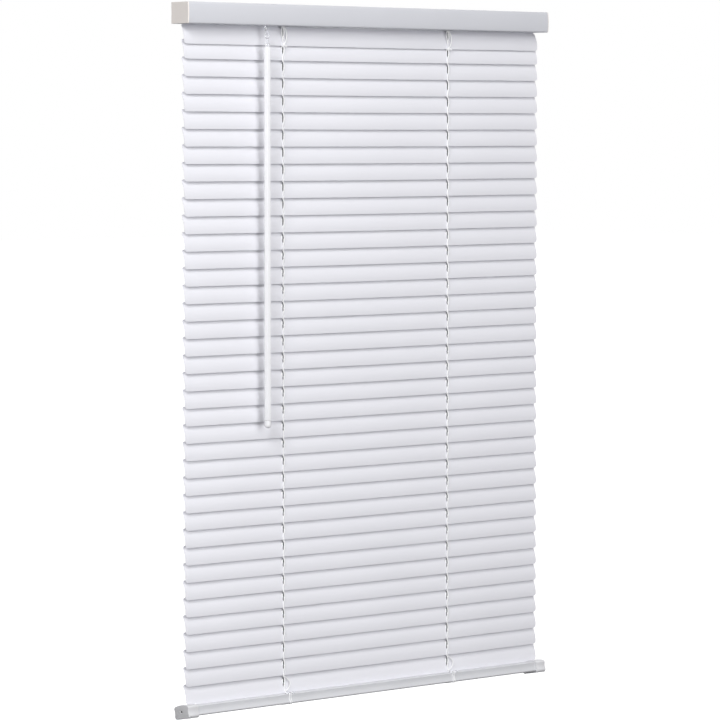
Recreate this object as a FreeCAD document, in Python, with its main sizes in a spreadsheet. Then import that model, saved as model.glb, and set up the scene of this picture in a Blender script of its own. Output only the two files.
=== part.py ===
import FreeCAD, Part
import math
import os

# Cordless 25 mm vinyl mini blind for an inside-mounted window, slats closed with the front edge down.
# Origin at the headrail's top centre: X along the blind, -Y towards the room, +Z up.  Millimetres.

SLAT_COUNT = 39

SIZES = {
    # headrail
    "headrail_length": 624.0,
    "headrail_depth": 31.8,
    "headrail_height": 26.7,
    "headrail_gauge": 0.7,
    "headrail_bulge": 1.0,
    "headrail_lip": 3.5,
    "end_plate": 1.5,
    "end_plug": 8.0,
    # slats
    "slat_length": 612.0,
    "slat_width": 25.0,
    "slat_crown": 2.2,
    "slat_gauge": 0.4,
    "slat_corner": 4.0,
    "rout_length": 9.8,
    "rout_width": 3.0,
    "closed_tilt": 75.0,
    # stack
    "first_drop": 13.1,
    "first_gap": 17.1,
    "slat_pitch": 21.5,
    "rail_gap": 21.5,
    # ladders and lift cords
    "ladder_x": 143.0,
    "ladder_radius": 0.6,
    "rung_reach": 13.4,
    "rung_sag": 2.25,
    "cord_standoff": 0.9,
    "lift_radius": 0.7,
    "lift_offset": 1.2,
    "lift_run_z": 25.0,
    "lift_run_step": 1.6,
    "knot_radius": 2.2,
    "entry_play": 0.25,
    # tilt rod and drums
    "rod_size": 4.0,
    "rod_left": 196.0,
    "rod_right": 152.0,
    "drum_radius": 9.0,
    "drum_core": 4.6,
    "drum_journal": 3.9,
    "drum_gap": 2.4,
    "drum_flange": 1.2,
    "drum_length": 15.0,
    "cradle_inside": 10.4,
    "cradle_wall": 1.6,
    "bearing_play": 0.3,
    # tilter
    "tilter_x": 185.0,
    "worm_lean": 20.0,
    "tooth_module": 0.8,
    "gear_face": 5.0,
    "worm_pitch_radius": 3.0,
    "worm_core": 2.0,
    "worm_half": 6.0,
    "stem_radius": 1.4,
    "stem_drop": 29.6,
    "eye_radius": 2.8,
    "eye_wire": 0.8,
    # wand
    "wand_top": 53.0,
    "wand_length": 475.0,
    "wand_radius": 4.4,
    "wand_tip": 10.0,
    "loop_radius": 3.4,
    "link_play": 0.5,
    "tip_play": 0.3,
    "hook_shank": 1.6,
    # bottom rail
    "rail_depth": 25.2,
    "rail_height": 13.4,
    "rail_gauge": 0.7,
    "rail_roll": 10.0,
    "rail_plate": 1.6,
    "rail_skirt": 15.0,
    "skirt_wall": 1.5,
    "skirt_drop": 0.5,
    "hold_down_radius": 1.5,
    "plug_radius": 5.0,
    # spring motor
    "motor_left": 170.0,
    "motor_length": 92.0,
    "motor_depth": 27.0,
    "motor_wall": 1.2,
}
V = FreeCAD.Vector
X_AXIS = V(1, 0, 0)

doc = FreeCAD.newDocument("MiniBlind")
sheet = doc.addObject("Spreadsheet::Sheet", "Sizes")
for row, (alias, value) in enumerate(SIZES.items(), start=1):
    sheet.set("A%d" % row, alias)
    sheet.set("B%d" % row, str(value))
    sheet.setAlias("B%d" % row, alias)
doc.recompute()

S = dict(SIZES)
parts = {}


def bind(obj, **rules):
    """Tie properties of obj to the size sheet; __ in a keyword stands for a dot."""
    for prop, rule in rules.items():
        obj.setExpression(prop.replace("__", "."), rule)
    return obj


def bare(text):
    """The rule with each size named in the sheet spelled as a sheet reference."""
    out = text
    for alias in sorted(SIZES, key=len, reverse=True):
        out = out.replace("$" + alias, "Sizes." + alias)
    return out


def place(obj, x="0", y="0", z="0", axis=None, angle="0"):
    """Stand obj at (x, y, z), each a rule, turned by the rule angle about axis."""
    if axis is not None:
        obj.Placement = FreeCAD.Placement(V(0, 0, 0), FreeCAD.Rotation(axis, 30))
        bind(obj, Placement__Rotation__Angle=bare(angle))
    bind(
        obj,
        Placement__Base__x=bare(x),
        Placement__Base__y=bare(y),
        Placement__Base__z=bare(z),
    )
    return obj


def seat(obj, placement):
    """Stand obj at a worked-out placement instead of by rules."""
    for axis in "xyz":
        obj.setExpression("Placement.Base." + axis, None)
    obj.Placement = placement
    return obj


def box(name, length, width, height, x, y, z):
    """A box whose least corner is at (x, y, z)."""
    obj = doc.addObject("Part::Box", name)
    bind(obj, Length=bare(length), Width=bare(width), Height=bare(height))
    return place(obj, x, y, z)


def rod(name, radius, height, x="0", y="0", z="0", axis=None, angle="0"):
    """A cylinder along +Z before it is turned."""
    obj = doc.addObject("Part::Cylinder", name)
    bind(obj, Radius=bare(radius), Height=bare(height))
    return place(obj, x, y, z, axis, angle)


def x_rod(name, radius, length, x, y="0", z="0"):
    """A cylinder along +X from (x, y, z)."""
    return rod(name, radius, length, x, y, z, V(0, 1, 0), "90")


def ring(name, radius, wire, x, y, z, axis, angle):
    """A torus about +Z before it is turned."""
    obj = doc.addObject("Part::Torus", name)
    bind(obj, Radius1=bare(radius), Radius2=bare(wire))
    return place(obj, x, y, z, axis, angle)


def ball(name, radius, x, y, z):
    """A sphere at (x, y, z)."""
    obj = doc.addObject("Part::Sphere", name)
    bind(obj, Radius=bare(radius))
    return place(obj, x, y, z)


def cut(name, base, tool):
    """base less tool."""
    obj = doc.addObject("Part::Cut", name)
    obj.Base, obj.Tool = base, tool
    return obj


def fuse(name, members):
    """One piece of several touching solids."""
    obj = doc.addObject("Part::MultiFuse", name)
    obj.Shapes = members
    return obj


def group(name, members):
    """Several separate solids of one kind."""
    obj = doc.addObject("Part::Compound", name)
    obj.Links = members
    return obj


def keep(label, obj):
    """Hand obj in as the sub-part called label."""
    obj.Label = label
    parts[label] = obj
    return obj


def plane(body, role):
    """The body's own origin plane with this role."""
    return next(f for f in body.Origin.OriginFeatures if f.Role == role)


def outline(body, name, role, loops):
    """A sketch on one origin plane; each loop is a list of (x, y) and ('arc', via) steps."""
    sketch = body.newObject("Sketcher::SketchObject", name)
    sketch.AttachmentSupport = [(plane(body, role), "")]
    sketch.MapMode = "FlatFace"
    for loop in loops:
        if loop[0] == "circle":
            sketch.addGeometry(Part.Circle(V(*loop[1], 0), V(0, 0, 1), loop[2]), False)
            continue
        here, via = None, None
        for step in loop + [loop[0]]:
            if step[0] == "arc":
                via = V(*step[1], 0)
                continue
            there = V(*step, 0)
            if here is not None and via is not None:
                sketch.addGeometry(Part.Arc(here, via, there), False)
            elif here is not None:
                sketch.addGeometry(Part.LineSegment(here, there), False)
            here, via = there, None
    return sketch


def pad(body, sketch, length, midplane=False, back=False):
    """Raise the sketch by the rule length."""
    feature = body.newObject("PartDesign::Pad", sketch.Name + "Pad")
    feature.Profile = sketch
    feature.Midplane = midplane
    feature.Reversed = back
    bind(feature, Length=bare(length))
    sketch.Visibility = False
    return feature


def pocket(body, sketch, length, midplane=True):
    """Cut the sketch out by the rule length, both ways unless told otherwise."""
    feature = body.newObject("PartDesign::Pocket", sketch.Name + "Pocket")
    feature.Profile = sketch
    feature.Midplane = midplane
    bind(feature, Length=bare(length))
    sketch.Visibility = False
    return feature


def rect(x0, y0, x1, y1):
    """Corners of a rectangle."""
    return [(x0, y0), (x1, y0), (x1, y1), (x0, y1)]


# ---------------------------------------------------------------- shared positions
ROD_Z = -S["headrail_height"] / 2
HALF = S["headrail_depth"] / 2
GAUGE = S["headrail_gauge"]
INSIDE = HALF - GAUGE
FLOOR = -S["headrail_height"] + GAUGE
LADDERS = {"left": -S["ladder_x"], "right": S["ladder_x"]}
TILT = math.radians(S["closed_tilt"])
LEAN = math.radians(S["worm_lean"])
ROD_RULE = "-$headrail_height / 2"
FIRST_Z = "-($headrail_height + $first_drop)"
LAST_Z = "-($headrail_height + $first_drop + $first_gap + $slat_pitch * %d)" % (SLAT_COUNT - 2)
RAIL_Z = LAST_Z + " - $rail_gap"
RAIL_Z_MM = (
    -S["headrail_height"]
    - S["first_drop"]
    - S["first_gap"]
    - S["slat_pitch"] * (SLAT_COUNT - 2)
    - S["rail_gap"]
)


# ---------------------------------------------------------------- headrail
def rail_shell(inset):
    """Front, bottom and back of the headrail drawn inset from its outside, bulged at the front."""
    y, top, low = HALF - inset, -inset, -S["headrail_height"] + inset
    bulge = S["headrail_bulge"]
    middle = ("arc", (-y - bulge, (top + low) / 2))
    return [(y, top), (y, low), (-y, low), middle, (-y, top)]


outer = rail_shell(0.0)
inner = rail_shell(GAUGE)
lip = HALF - S["headrail_lip"]
channel = doc.addObject("PartDesign::Body", "Channel")
section = outer + [(-lip, 0.0), (-lip, -GAUGE)] + inner[::-1] + [(lip, -GAUGE), (lip, 0.0)]
section_sketch = outline(channel, "ChannelSection", "YZ_Plane", [section])
pad(channel, section_sketch, "$headrail_length - 2 * $end_plate", True)
ladder_slots = [rect(x - 2.5, -INSIDE + 0.1, x + 2.5, INSIDE - 0.1) for x in LADDERS.values()]
stem_y = -(S["worm_pitch_radius"] + 6 * S["tooth_module"]) * math.cos(LEAN) - math.tan(LEAN) * (
    S["headrail_height"] / 2 + (S["worm_pitch_radius"] + 6 * S["tooth_module"]) * math.sin(LEAN)
)
stem_hole = ["circle", (-S["tilter_x"], stem_y + 0.1), S["stem_radius"] + 0.6]
openings_sketch = outline(channel, "FloorOpenings", "XY_Plane", ladder_slots + [stem_hole])
pocket(channel, openings_sketch, "$headrail_height * 4")
keep("headrail_channel", channel)


def headrail_cap(side, sign):
    """A moulded end cap: a plate the shape of the rail's end and a hollow plug that goes inside."""
    body = doc.addObject("PartDesign::Body", "HeadCap" + side)
    pad(body, outline(body, "HeadCapPlate" + side, "YZ_Plane", [outer]), "$end_plate", False, sign < 0)
    plug = rect(-INSIDE + 0.3, FLOOR + 0.3, INSIDE - 0.3, -GAUGE - 0.3)
    hollow = rect(-INSIDE + 1.8, FLOOR + 1.8, INSIDE - 1.8, -GAUGE - 1.8)
    pad(body, outline(body, "HeadCapPlug" + side, "YZ_Plane", [plug, hollow]), "$end_plug", False, sign > 0)
    return place(body, "%d * ($headrail_length / 2 - $end_plate)" % sign)


keep("headrail_end_caps", group("HeadCaps", [headrail_cap("Left", -1), headrail_cap("Right", 1)]))


# ---------------------------------------------------------------- slats
CHORD = S["slat_width"] / 2
slat_rule = "($slat_width^2 / 4 + $slat_crown^2) / (2 * $slat_crown)"


def slat_shape():
    """One crowned slat lying flat, apex on its turning axis, concave side down."""
    length = "$slat_length"
    centre = "-(%s)" % slat_rule
    outside = x_rod("SlatOutside", slat_rule + " + $slat_gauge / 2", length, "-$slat_length / 2", "0", centre)
    inside = x_rod("SlatInside", slat_rule + " - $slat_gauge / 2", length, "-$slat_length / 2", "0", centre)
    tube = cut("SlatTube", outside, inside)
    body = doc.addObject("PartDesign::Body", "SlatPlan")
    a, b, r = S["slat_length"] / 2, CHORD, S["slat_corner"]
    k = r * (1 - math.sqrt(0.5))
    plan = [
        (-a + r, -b),
        (a - r, -b),
        ("arc", (a - k, -b + k)),
        (a, -b + r),
        (a, b - r),
        ("arc", (a - k, b - k)),
        (a - r, b),
        (-a + r, b),
        ("arc", (-a + k, b - k)),
        (-a, b - r),
        (-a, -b + r),
        ("arc", (-a + k, -b + k)),
    ]
    w, h = S["rout_width"] / 2, S["rout_length"] / 2
    routs = []
    for x in LADDERS.values():
        c = x - S["lift_offset"]
        near_end = [(c - w, -h + w), ("arc", (c, -h)), (c + w, -h + w)]
        far_end = [(c + w, h - w), ("arc", (c, h)), (c - w, h - w)]
        routs.append(near_end + far_end)
    pad(body, outline(body, "SlatPlanOutline", "XY_Plane", [plan] + routs), "$slat_width", True)
    blank = doc.addObject("Part::MultiCommon", "SlatBlank")
    blank.Shapes = [tube, body]
    return blank


blank = slat_shape()
for number in range(1, SLAT_COUNT + 1):
    slat = doc.addObject("Part::Compound", "Slat%02d" % number)
    slat.Links = [blank]
    if number == 1:
        height = FIRST_Z
    else:
        height = FIRST_Z + " - $first_gap - $slat_pitch * %d" % (number - 2)
    place(slat, "0", "0", height, X_AXIS, "$closed_tilt")
    keep("slat_%02d" % number, slat)


# ---------------------------------------------------------------- ladder and lift cords
FRONT_Y = "-$rung_reach * cos($closed_tilt * 1deg) + $rung_sag * sin($closed_tilt * 1deg) - $cord_standoff"
BACK_Y = "$rung_reach * cos($closed_tilt * 1deg) + $rung_sag * sin($closed_tilt * 1deg) + $cord_standoff"
FRONT_RISE = "(-$rung_reach * sin($closed_tilt * 1deg) - $rung_sag * cos($closed_tilt * 1deg))"
BACK_RISE = "($rung_reach * sin($closed_tilt * 1deg) - $rung_sag * cos($closed_tilt * 1deg))"
for label, y, rise in (("ladder_front_cords", FRONT_Y, FRONT_RISE), ("ladder_back_cords", BACK_Y, BACK_RISE)):
    cords = []
    for side, x in LADDERS.items():
        length = "(%s) - (%s)" % (ROD_RULE, LAST_Z)
        name = label.title().replace("_", "") + side.title()
        cords.append(rod(name, "$ladder_radius", length, str(x), y, "%s + %s" % (LAST_Z, rise)))
    keep(label, group(label.title().replace("_", ""), cords))

lifts = []
for side, x in LADDERS.items():
    tag = "Lift" + side.title()
    drop_x = "%s - $lift_offset" % x
    run_z = "-$lift_run_z" + (" + $lift_run_step" if side == "left" else "")
    end_z = "(%s + $rail_height / 2 - $rail_gauge - $knot_radius - 0.3)" % RAIL_Z
    run = x_rod(tag + "Run", "$lift_radius", "190 - (%s)" % drop_x, drop_x, "0", run_z)
    bend = ball(tag + "Bend", "$lift_radius", drop_x, "0", run_z)
    drop = rod(tag + "Drop", "$lift_radius", "(%s) - %s" % (run_z, end_z), drop_x, "0", end_z)
    knot = ball(tag + "Knot", "$knot_radius", drop_x, "0", end_z)
    lifts.append(fuse(tag, [run, bend, drop, knot]))
keep("lift_cords", group("LiftCords", lifts))


# ---------------------------------------------------------------- tilt rod, drums and cradles
def squared(name, base, x, length, play):
    """base with a square hole for the tilt rod along X."""
    size = "($rod_size + %s)" % play
    hole = box(name + "Square", length, size, size, x, "-%s / 2" % size, "%s - %s / 2" % (ROD_RULE, size))
    return cut(name, base, hole)


half_rod = "$rod_size / 2"
tilt_rod = box(
    "TiltRod",
    "$rod_left + $rod_right",
    "$rod_size",
    "$rod_size",
    "-$rod_left",
    "-" + half_rod,
    ROD_RULE + " - " + half_rod,
)
keep("tilt_rod", tilt_rod)

drums, cradles = [], []
for side, x in LADDERS.items():
    tag = "Drum" + side.title()
    rim = "$drum_gap / 2 + $drum_flange"
    start = "%s - $drum_length / 2" % x
    journal = x_rod(tag + "Journal", "$drum_journal", "$drum_length", start, "0", ROD_RULE)
    core = x_rod(tag + "Core", "$drum_core", "2 * (%s)" % rim, "%s - (%s)" % (x, rim), "0", ROD_RULE)
    flanges = [
        x_rod(tag + "FlangeA", "$drum_radius", "$drum_flange", "%s - (%s)" % (x, rim), "0", ROD_RULE),
        x_rod(tag + "FlangeB", "$drum_radius", "$drum_flange", "%s + $drum_gap / 2" % x, "0", ROD_RULE),
    ]
    turned = fuse(tag + "Turned", [journal, core] + flanges)
    drums.append(squared(tag, turned, "%s - $drum_length" % x, "2 * $drum_length", "0.2"))

    tag = "Cradle" + side.title()
    notch = S["drum_journal"] + S["bearing_play"]
    wall_y, low, high = INSIDE - 0.3, FLOOR + 0.1, -GAUGE - 0.2
    body = doc.addObject("PartDesign::Body", tag)
    plate = [
        (-wall_y, low),
        (wall_y, low),
        (wall_y, high),
        (notch, high),
        (notch, ROD_Z),
        ("arc", (0, ROD_Z - notch)),
        (-notch, ROD_Z),
        (-notch, high),
        (-wall_y, high),
    ]
    eye = S["lift_radius"] + 0.1
    eyelet = rect(-eye, -S["lift_run_z"] - eye, eye, -S["lift_run_z"] + S["lift_run_step"] + eye)
    sketch = outline(body, tag + "Plate", "YZ_Plane", [plate, eyelet])
    pad(body, sketch, "$cradle_inside + 2 * $cradle_wall", True)
    middle = [
        (-wall_y - 1, low - 1),
        (wall_y + 1, low - 1),
        (wall_y + 1, -3.3),
        (wall_y - 3.3, -3.3),
        (wall_y - 3.3, 1),
        (-wall_y + 3.3, 1),
        (-wall_y + 3.3, -3.3),
        (-wall_y - 1, -3.3),
    ]
    pocket(body, outline(body, tag + "Middle", "YZ_Plane", [middle]), "$cradle_inside")
    cradles.append(place(body, str(x)))
keep("ladder_drums", group("LadderDrums", drums))
keep("drum_cradles", group("DrumCradles", cradles))


# ---------------------------------------------------------------- tilter: gear, worm and case
MODULE = S["tooth_module"]
TEETH = 12
PITCH_RADIUS = MODULE * TEETH / 2
LEAD = math.pi * MODULE


def gear():
    """A spur gear of slim teeth on the tilt rod, its tooth spaces in step with the worm's thread."""
    body = doc.addObject("PartDesign::Body", "TiltGear")
    root, tip = PITCH_RADIUS - 1.0, PITCH_RADIUS + 0.65
    facing = math.pi - LEAN - math.pi / TEETH / 2
    loop = []
    for tooth in range(TEETH):
        mid = facing + (tooth + 0.5) * 2 * math.pi / TEETH
        for radius, half in ((root, 0.55), (tip, 0.22)):
            swing = half / radius
            loop.append((radius, mid - swing))
        for radius, half in ((tip, 0.22), (root, 0.55)):
            swing = half / radius
            loop.append((radius, mid + swing))
    points = [(r * math.cos(a), ROD_Z + r * math.sin(a)) for r, a in loop]
    pad(body, outline(body, "GearTeeth", "YZ_Plane", [points]), "$gear_face", True)
    place(body, "-$tilter_x")
    return squared("TiltGearBored", body, "-$tilter_x - $gear_face", "2 * $gear_face", "0.2")


keep("tilt_gear", gear())

REACH = PITCH_RADIUS + S["worm_pitch_radius"]
WORM_Y, WORM_Z = -REACH * math.cos(LEAN), ROD_Z + REACH * math.sin(LEAN)
DOWN = V(0, -math.sin(LEAN), -math.cos(LEAN))
WORM_SEAT = FreeCAD.Placement(
    V(-S["tilter_x"], WORM_Y, WORM_Z), FreeCAD.Rotation(X_AXIS, 180 - S["worm_lean"])
)


def worm():
    """The worm, its stem and the eye that carries the wand, drawn along +Z and leant over."""
    core = rod("WormCore", "$worm_core", "2 * $worm_half", "0", "0", "-$worm_half")
    stem_length = "$stem_drop - 2 * $eye_radius + $worm_half + 1.5"
    stem = rod("WormStem", "$stem_radius", stem_length, "0", "0", "-$worm_half - 1.5")
    eye = ring("WormEye", "$eye_radius", "$eye_wire", "0", "0", "$stem_drop - $eye_radius", X_AXIS, "90")
    turns = 4
    helix = doc.addObject("Part::Helix", "WormHelix")
    helix.Pitch = LEAD
    helix.Height = LEAD * turns
    helix.Radius = S["worm_core"]
    start = -LEAD * turns / 2
    helix.Placement.Base = V(0, 0, start)
    r0, r1 = S["worm_core"] - 0.25, S["worm_pitch_radius"] + 0.6
    flank = [V(r0, 0, start - 0.5), V(r1, 0, start - 0.18), V(r1, 0, start + 0.18), V(r0, 0, start + 0.5)]
    profile = doc.addObject("Part::Feature", "WormThreadSection")
    profile.Shape = Part.makePolygon(flank + [flank[0]])
    thread = doc.addObject("Part::Sweep", "WormThread")
    thread.Sections = [profile]
    thread.Spine = (helix, ["Edge%d" % (n + 1) for n in range(len(helix.Shape.Edges) or turns)])
    thread.Solid = True
    thread.Frenet = True
    return seat(fuse("TilterWorm", [core, stem, eye, thread]), WORM_SEAT)


keep("tilter_worm", worm())


def tilter_case():
    """An open-topped case; the rod crosses it and the worm's stem leaves through its floor."""
    x0 = "-$tilter_x - 8"
    outside = box("CaseOutside", "16", "22.4", "24.6", x0, "-14.9", str(FLOOR + 0.2))
    inside = box("CaseInside", "12.8", "19.8", "30", "-$tilter_x - 6.4", "-13.6", str(FLOOR + 1.4))
    rod_way = x_rod("CaseRodWay", "$rod_size / 2 * 1.4143 + 0.5", "20", "-$tilter_x - 10", "0", ROD_RULE)
    stem_way = seat(rod("CaseStemWay", "$stem_radius + 0.5", "30"), WORM_SEAT)
    body = cut("CaseHollow", outside, inside)
    return cut("TilterCase", cut("CaseBored", body, rod_way), stem_way)


keep("tilter_case", tilter_case())


# ---------------------------------------------------------------- wand
EYE = V(-S["tilter_x"], WORM_Y, WORM_Z) + DOWN * S["stem_drop"]
wand_x, wand_y = "-$tilter_x", str(EYE.y)
loop_top = EYE.z + 2 * S["eye_wire"] + S["link_play"]
loop = ring(
    "WandLoop",
    "$loop_radius",
    "$eye_wire",
    wand_x,
    wand_y,
    "%s - $loop_radius" % loop_top,
    V(0, 1, 0),
    "90",
)
shank_top = loop_top - 2 * S["loop_radius"]
shank = rod("WandShank", "$hook_shank", "%s + $wand_top + 7" % shank_top, wand_x, wand_y, "-$wand_top - 7")
keep("wand_hook", fuse("WandHook", [loop, shank]))

stick = rod(
    "WandStick",
    "$wand_radius",
    "$wand_length - $wand_tip - $tip_play",
    wand_x,
    wand_y,
    "-$wand_top - $wand_length + $wand_tip + $tip_play",
)
shank_bore = rod("WandShankBore", "$hook_shank + 0.15", "20", wand_x, wand_y, "-$wand_top - 8")
pin_bore = rod("WandPinBore", "1.8", "20", wand_x, wand_y, "-$wand_top - $wand_length + $wand_tip - 10.5")
keep("wand_rod", cut("WandRod", cut("WandDrilled", stick, shank_bore), pin_bore))

tip_z = "-$wand_top - $wand_length"
dome_z = tip_z + " + $wand_radius"
tip_side = rod("TipSide", "$wand_radius", "$wand_tip - $wand_radius", wand_x, wand_y, dome_z)
tip_end = ball("TipEnd", "$wand_radius", wand_x, wand_y, dome_z)
tip_pin = rod("TipPin", "1.5", "9.2", wand_x, wand_y, tip_z + " + $wand_tip - 0.2")
keep("wand_end_cap", fuse("WandEndCap", [tip_side, tip_end, tip_pin]))


# ---------------------------------------------------------------- bottom rail
def rail_outline(grow, drop=0.0):
    """The rail's outline grown all round and lowered: crowned top, sides drawn in, flat underneath."""
    a, b = S["rail_depth"] / 2 + grow, S["rail_height"] / 2 + grow
    points = [
        (-a, -b + 1.6),
        (-a + 1.6, -b),
        (a - 1.6, -b),
        (a, -b + 1.6),
        ("arc", (a - 1.0, 0.0)),
        (a, b - 1.6),
        (a - 1.2, b - 0.6),
        ("arc", (0.0, b + 0.6)),
        (-a + 1.2, b - 0.6),
        (-a, b - 1.6),
        ("arc", (-a + 1.0, 0.0)),
    ]
    return [("arc", (p[1][0], p[1][1] - drop)) if p[0] == "arc" else (p[0], p[1] - drop) for p in points]


def rolled(obj, x="0"):
    """Stand obj on the rail's own axis, rolled with its front up."""
    return place(obj, x, "0", RAIL_Z, X_AXIS, "-$rail_roll")


rail = doc.addObject("PartDesign::Body", "BottomRail")
tube = [rail_outline(0.0), rail_outline(-S["rail_gauge"])]
pad(rail, outline(rail, "RailSection", "YZ_Plane", tube), "$headrail_length - 2 * $rail_plate", True)
entry_sweep = (S["rail_height"] / 2 + 0.6) * math.tan(math.radians(S["rail_roll"]))
entry_side = S["lift_radius"] + 2 * S["entry_play"]
entry_deep = entry_sweep + S["lift_radius"] + S["entry_play"]
entries = []
for x in LADDERS.values():
    c = x - S["lift_offset"]
    entries.append(rect(c - entry_side, -entry_deep, c + entry_side, entry_deep))
pocket(rail, outline(rail, "CordEntries", "XY_Plane", entries), "$rail_height * 2", False).Reversed = True
holes = [["circle", (x, 0.0), 3.0] for x in LADDERS.values()]
pocket(rail, outline(rail, "PlugHoles", "XY_Plane", holes), "$rail_height * 2", False)
keep("bottom_rail", rolled(rail))


def rail_cap(side, sign):
    """A moulded cap: an end plate bored for the hold-down pin and a skirt round the rail."""
    body = doc.addObject("PartDesign::Body", "RailCap" + side)
    bore = ["circle", (0.0, 0.0), S["hold_down_radius"]]
    around = rail_outline(0.15 + S["skirt_wall"], S["skirt_drop"])
    plate = outline(body, "RailCapPlate" + side, "YZ_Plane", [around, bore])
    pad(body, plate, "$rail_plate", False, sign < 0)
    skirt = [around, rail_outline(0.15)]
    pad(body, outline(body, "RailCapSkirt" + side, "YZ_Plane", skirt), "$rail_skirt", False, sign > 0)
    return rolled(body, "%d * ($headrail_length / 2 - $rail_plate)" % sign)


keep("bottom_rail_caps", group("RailCaps", [rail_cap("Left", -1), rail_cap("Right", 1)]))

plugs = []
for side, x in LADDERS.items():
    body = doc.addObject("PartDesign::Body", "Plug" + side.title())
    under = S["rail_height"] / 2
    rule = [(0, -under - 1.4), (S["plug_radius"] - 0.8, -under - 1.4), (S["plug_radius"], -under - 0.1)]
    rule += [(2.7, -under - 0.1), (2.7, -under + 2.4), (0, -under + 2.4)]
    sketch = outline(body, "PlugSection" + side.title(), "XZ_Plane", [rule])
    turn = body.newObject("PartDesign::Revolution", "PlugTurn" + side.title())
    turn.Profile = sketch
    turn.ReferenceAxis = (sketch, ["V_Axis"])
    turn.Angle = 360
    plugs.append(rolled(body, str(x)))
keep("cord_plugs", group("CordPlugs", plugs))


# ---------------------------------------------------------------- spring motor
MOTOR_LOW = FLOOR + 0.3
MOTOR_TOP = -4.0


def motor_case():
    """An open-topped case at the right of the headrail, notched where the lift cords come in."""
    depth = "$motor_depth"
    tall = str(MOTOR_TOP - MOTOR_LOW)
    back = "-$motor_depth / 2"
    outside = box("MotorOutside", "$motor_length", depth, tall, "$motor_left", back, str(MOTOR_LOW))
    inside = box(
        "MotorInside",
        "$motor_length - 2 * $motor_wall",
        "$motor_depth - 2 * $motor_wall",
        "40",
        "$motor_left + $motor_wall",
        "-$motor_depth / 2 + $motor_wall",
        str(MOTOR_LOW + 1.0),
    )
    notch = box("MotorNotch", "22", "3", "4", "$motor_left - 1", "-1.5", str(MOTOR_LOW - 0.5))
    return cut("MotorCase", cut("MotorHollow", outside, inside), notch)


keep("spring_motor_case", motor_case())
keep(
    "spring_motor_cover",
    box(
        "MotorCover",
        "$motor_length",
        "$motor_depth",
        "1.2",
        "$motor_left",
        "-$motor_depth / 2",
        str(MOTOR_TOP + 0.1),
    ),
)


def spool(name, x, y, core, flange, low, high):
    """A flanged spool standing on the case floor."""
    barrel = rod(name + "Barrel", str(core), str(high - low), str(x), str(y), str(low))
    foot = rod(name + "Foot", str(flange), "1", str(x), str(y), str(low))
    head = rod(name + "Head", str(flange), "1", str(x), str(y), str(high - 1))
    return fuse(name, [barrel, foot, head])


SPOOL_LOW, SPOOL_HIGH = MOTOR_LOW + 1.3, MOTOR_TOP - 0.4
wound = spool("CordSpool", 201.0, 4.5, 4.0, 7.5, SPOOL_LOW, SPOOL_HIGH)
drive = spool("DriveDrum", 220.0, 0.0, 5.0, 10.0, SPOOL_LOW, SPOOL_HIGH)
store = spool("StoreDrum", 246.0, 0.0, 4.0, 11.0, SPOOL_LOW, SPOOL_HIGH)
keep("motor_spools", group("MotorSpools", [wound, drive, store]))


def coil(name, x, inner_radius, outer_radius, low, high):
    """A wound roll of spring strip round one drum."""
    solid = rod(name + "Roll", str(outer_radius), str(high - low), str(x), "0", str(low))
    core = rod(name + "Core", str(inner_radius), str(high - low), str(x), "0", str(low))
    return cut(name, solid, core)


band_low, band_high = SPOOL_LOW + 1.6, SPOOL_HIGH - 1.6
span = 246.0 - 220.0
lean = math.asin((9.0 + 6.5) / span)
strip = box("SpringStrip", str(span * math.cos(lean)), "0.4", str(band_high - band_low), "0", "0", "0")
strip_seat = FreeCAD.Placement(
    V(220.0 + 6.3 * math.sin(lean), 6.3 * math.cos(lean), band_low),
    FreeCAD.Rotation(V(0, 0, 1), -math.degrees(lean)),
)
seat(strip, strip_seat)
rolls = [
    coil("DriveCoil", 220.0, 5.3, 6.5, band_low, band_high),
    coil("StoreCoil", 246.0, 4.3, 9.0, band_low, band_high),
]
keep("flat_spring", fuse("FlatSpring", rolls + [strip]))


# ---------------------------------------------------------------- check and write
doc.recompute()
bad = []
for obj in doc.Objects:
    if "Invalid" in obj.State or "Error" in obj.State:
        bad.append(obj.Name)
for label, obj in parts.items():
    shape = obj.Shape
    if shape.isNull() or not shape.isValid() or not shape.Solids:
        bad.append(label)
if bad:
    raise RuntimeError("pieces that did not build: %s" % ", ".join(bad))

os.makedirs("parts", exist_ok=True)
for label, obj in parts.items():
    obj.Shape.exportStep("parts/%s.step" % label)
print("%d sub-parts" % len(parts))
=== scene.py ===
"""The looks of a cordless 25 mm mini blind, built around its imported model.

Sizes are in millimetres and become metres only where a mesh is made.  X runs along the blind, -Y is
the room side and Z is up, with the origin at the headrail's top centre.
"""

import logging
import math
from dataclasses import dataclass, field
from enum import Enum

import bpy
import numpy as np
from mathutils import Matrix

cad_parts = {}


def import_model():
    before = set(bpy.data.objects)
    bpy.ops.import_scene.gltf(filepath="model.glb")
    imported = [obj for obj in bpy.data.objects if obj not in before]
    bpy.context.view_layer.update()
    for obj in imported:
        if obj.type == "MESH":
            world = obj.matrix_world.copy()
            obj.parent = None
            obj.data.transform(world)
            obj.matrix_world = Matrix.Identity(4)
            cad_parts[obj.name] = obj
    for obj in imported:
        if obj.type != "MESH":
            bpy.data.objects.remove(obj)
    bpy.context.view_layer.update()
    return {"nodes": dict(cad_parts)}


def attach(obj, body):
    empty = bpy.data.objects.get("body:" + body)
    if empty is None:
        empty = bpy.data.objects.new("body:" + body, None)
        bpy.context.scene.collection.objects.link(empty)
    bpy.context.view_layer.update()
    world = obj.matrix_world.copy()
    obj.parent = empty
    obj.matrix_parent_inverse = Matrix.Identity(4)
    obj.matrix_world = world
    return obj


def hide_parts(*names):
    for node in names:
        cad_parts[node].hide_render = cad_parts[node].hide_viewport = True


LOG = logging.getLogger("mini_blind")
Points = np.ndarray
Pair = tuple[float, float]
Triple = tuple[float, float, float]
Tree = bpy.types.NodeTree
Socket = bpy.types.NodeSocket

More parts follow.
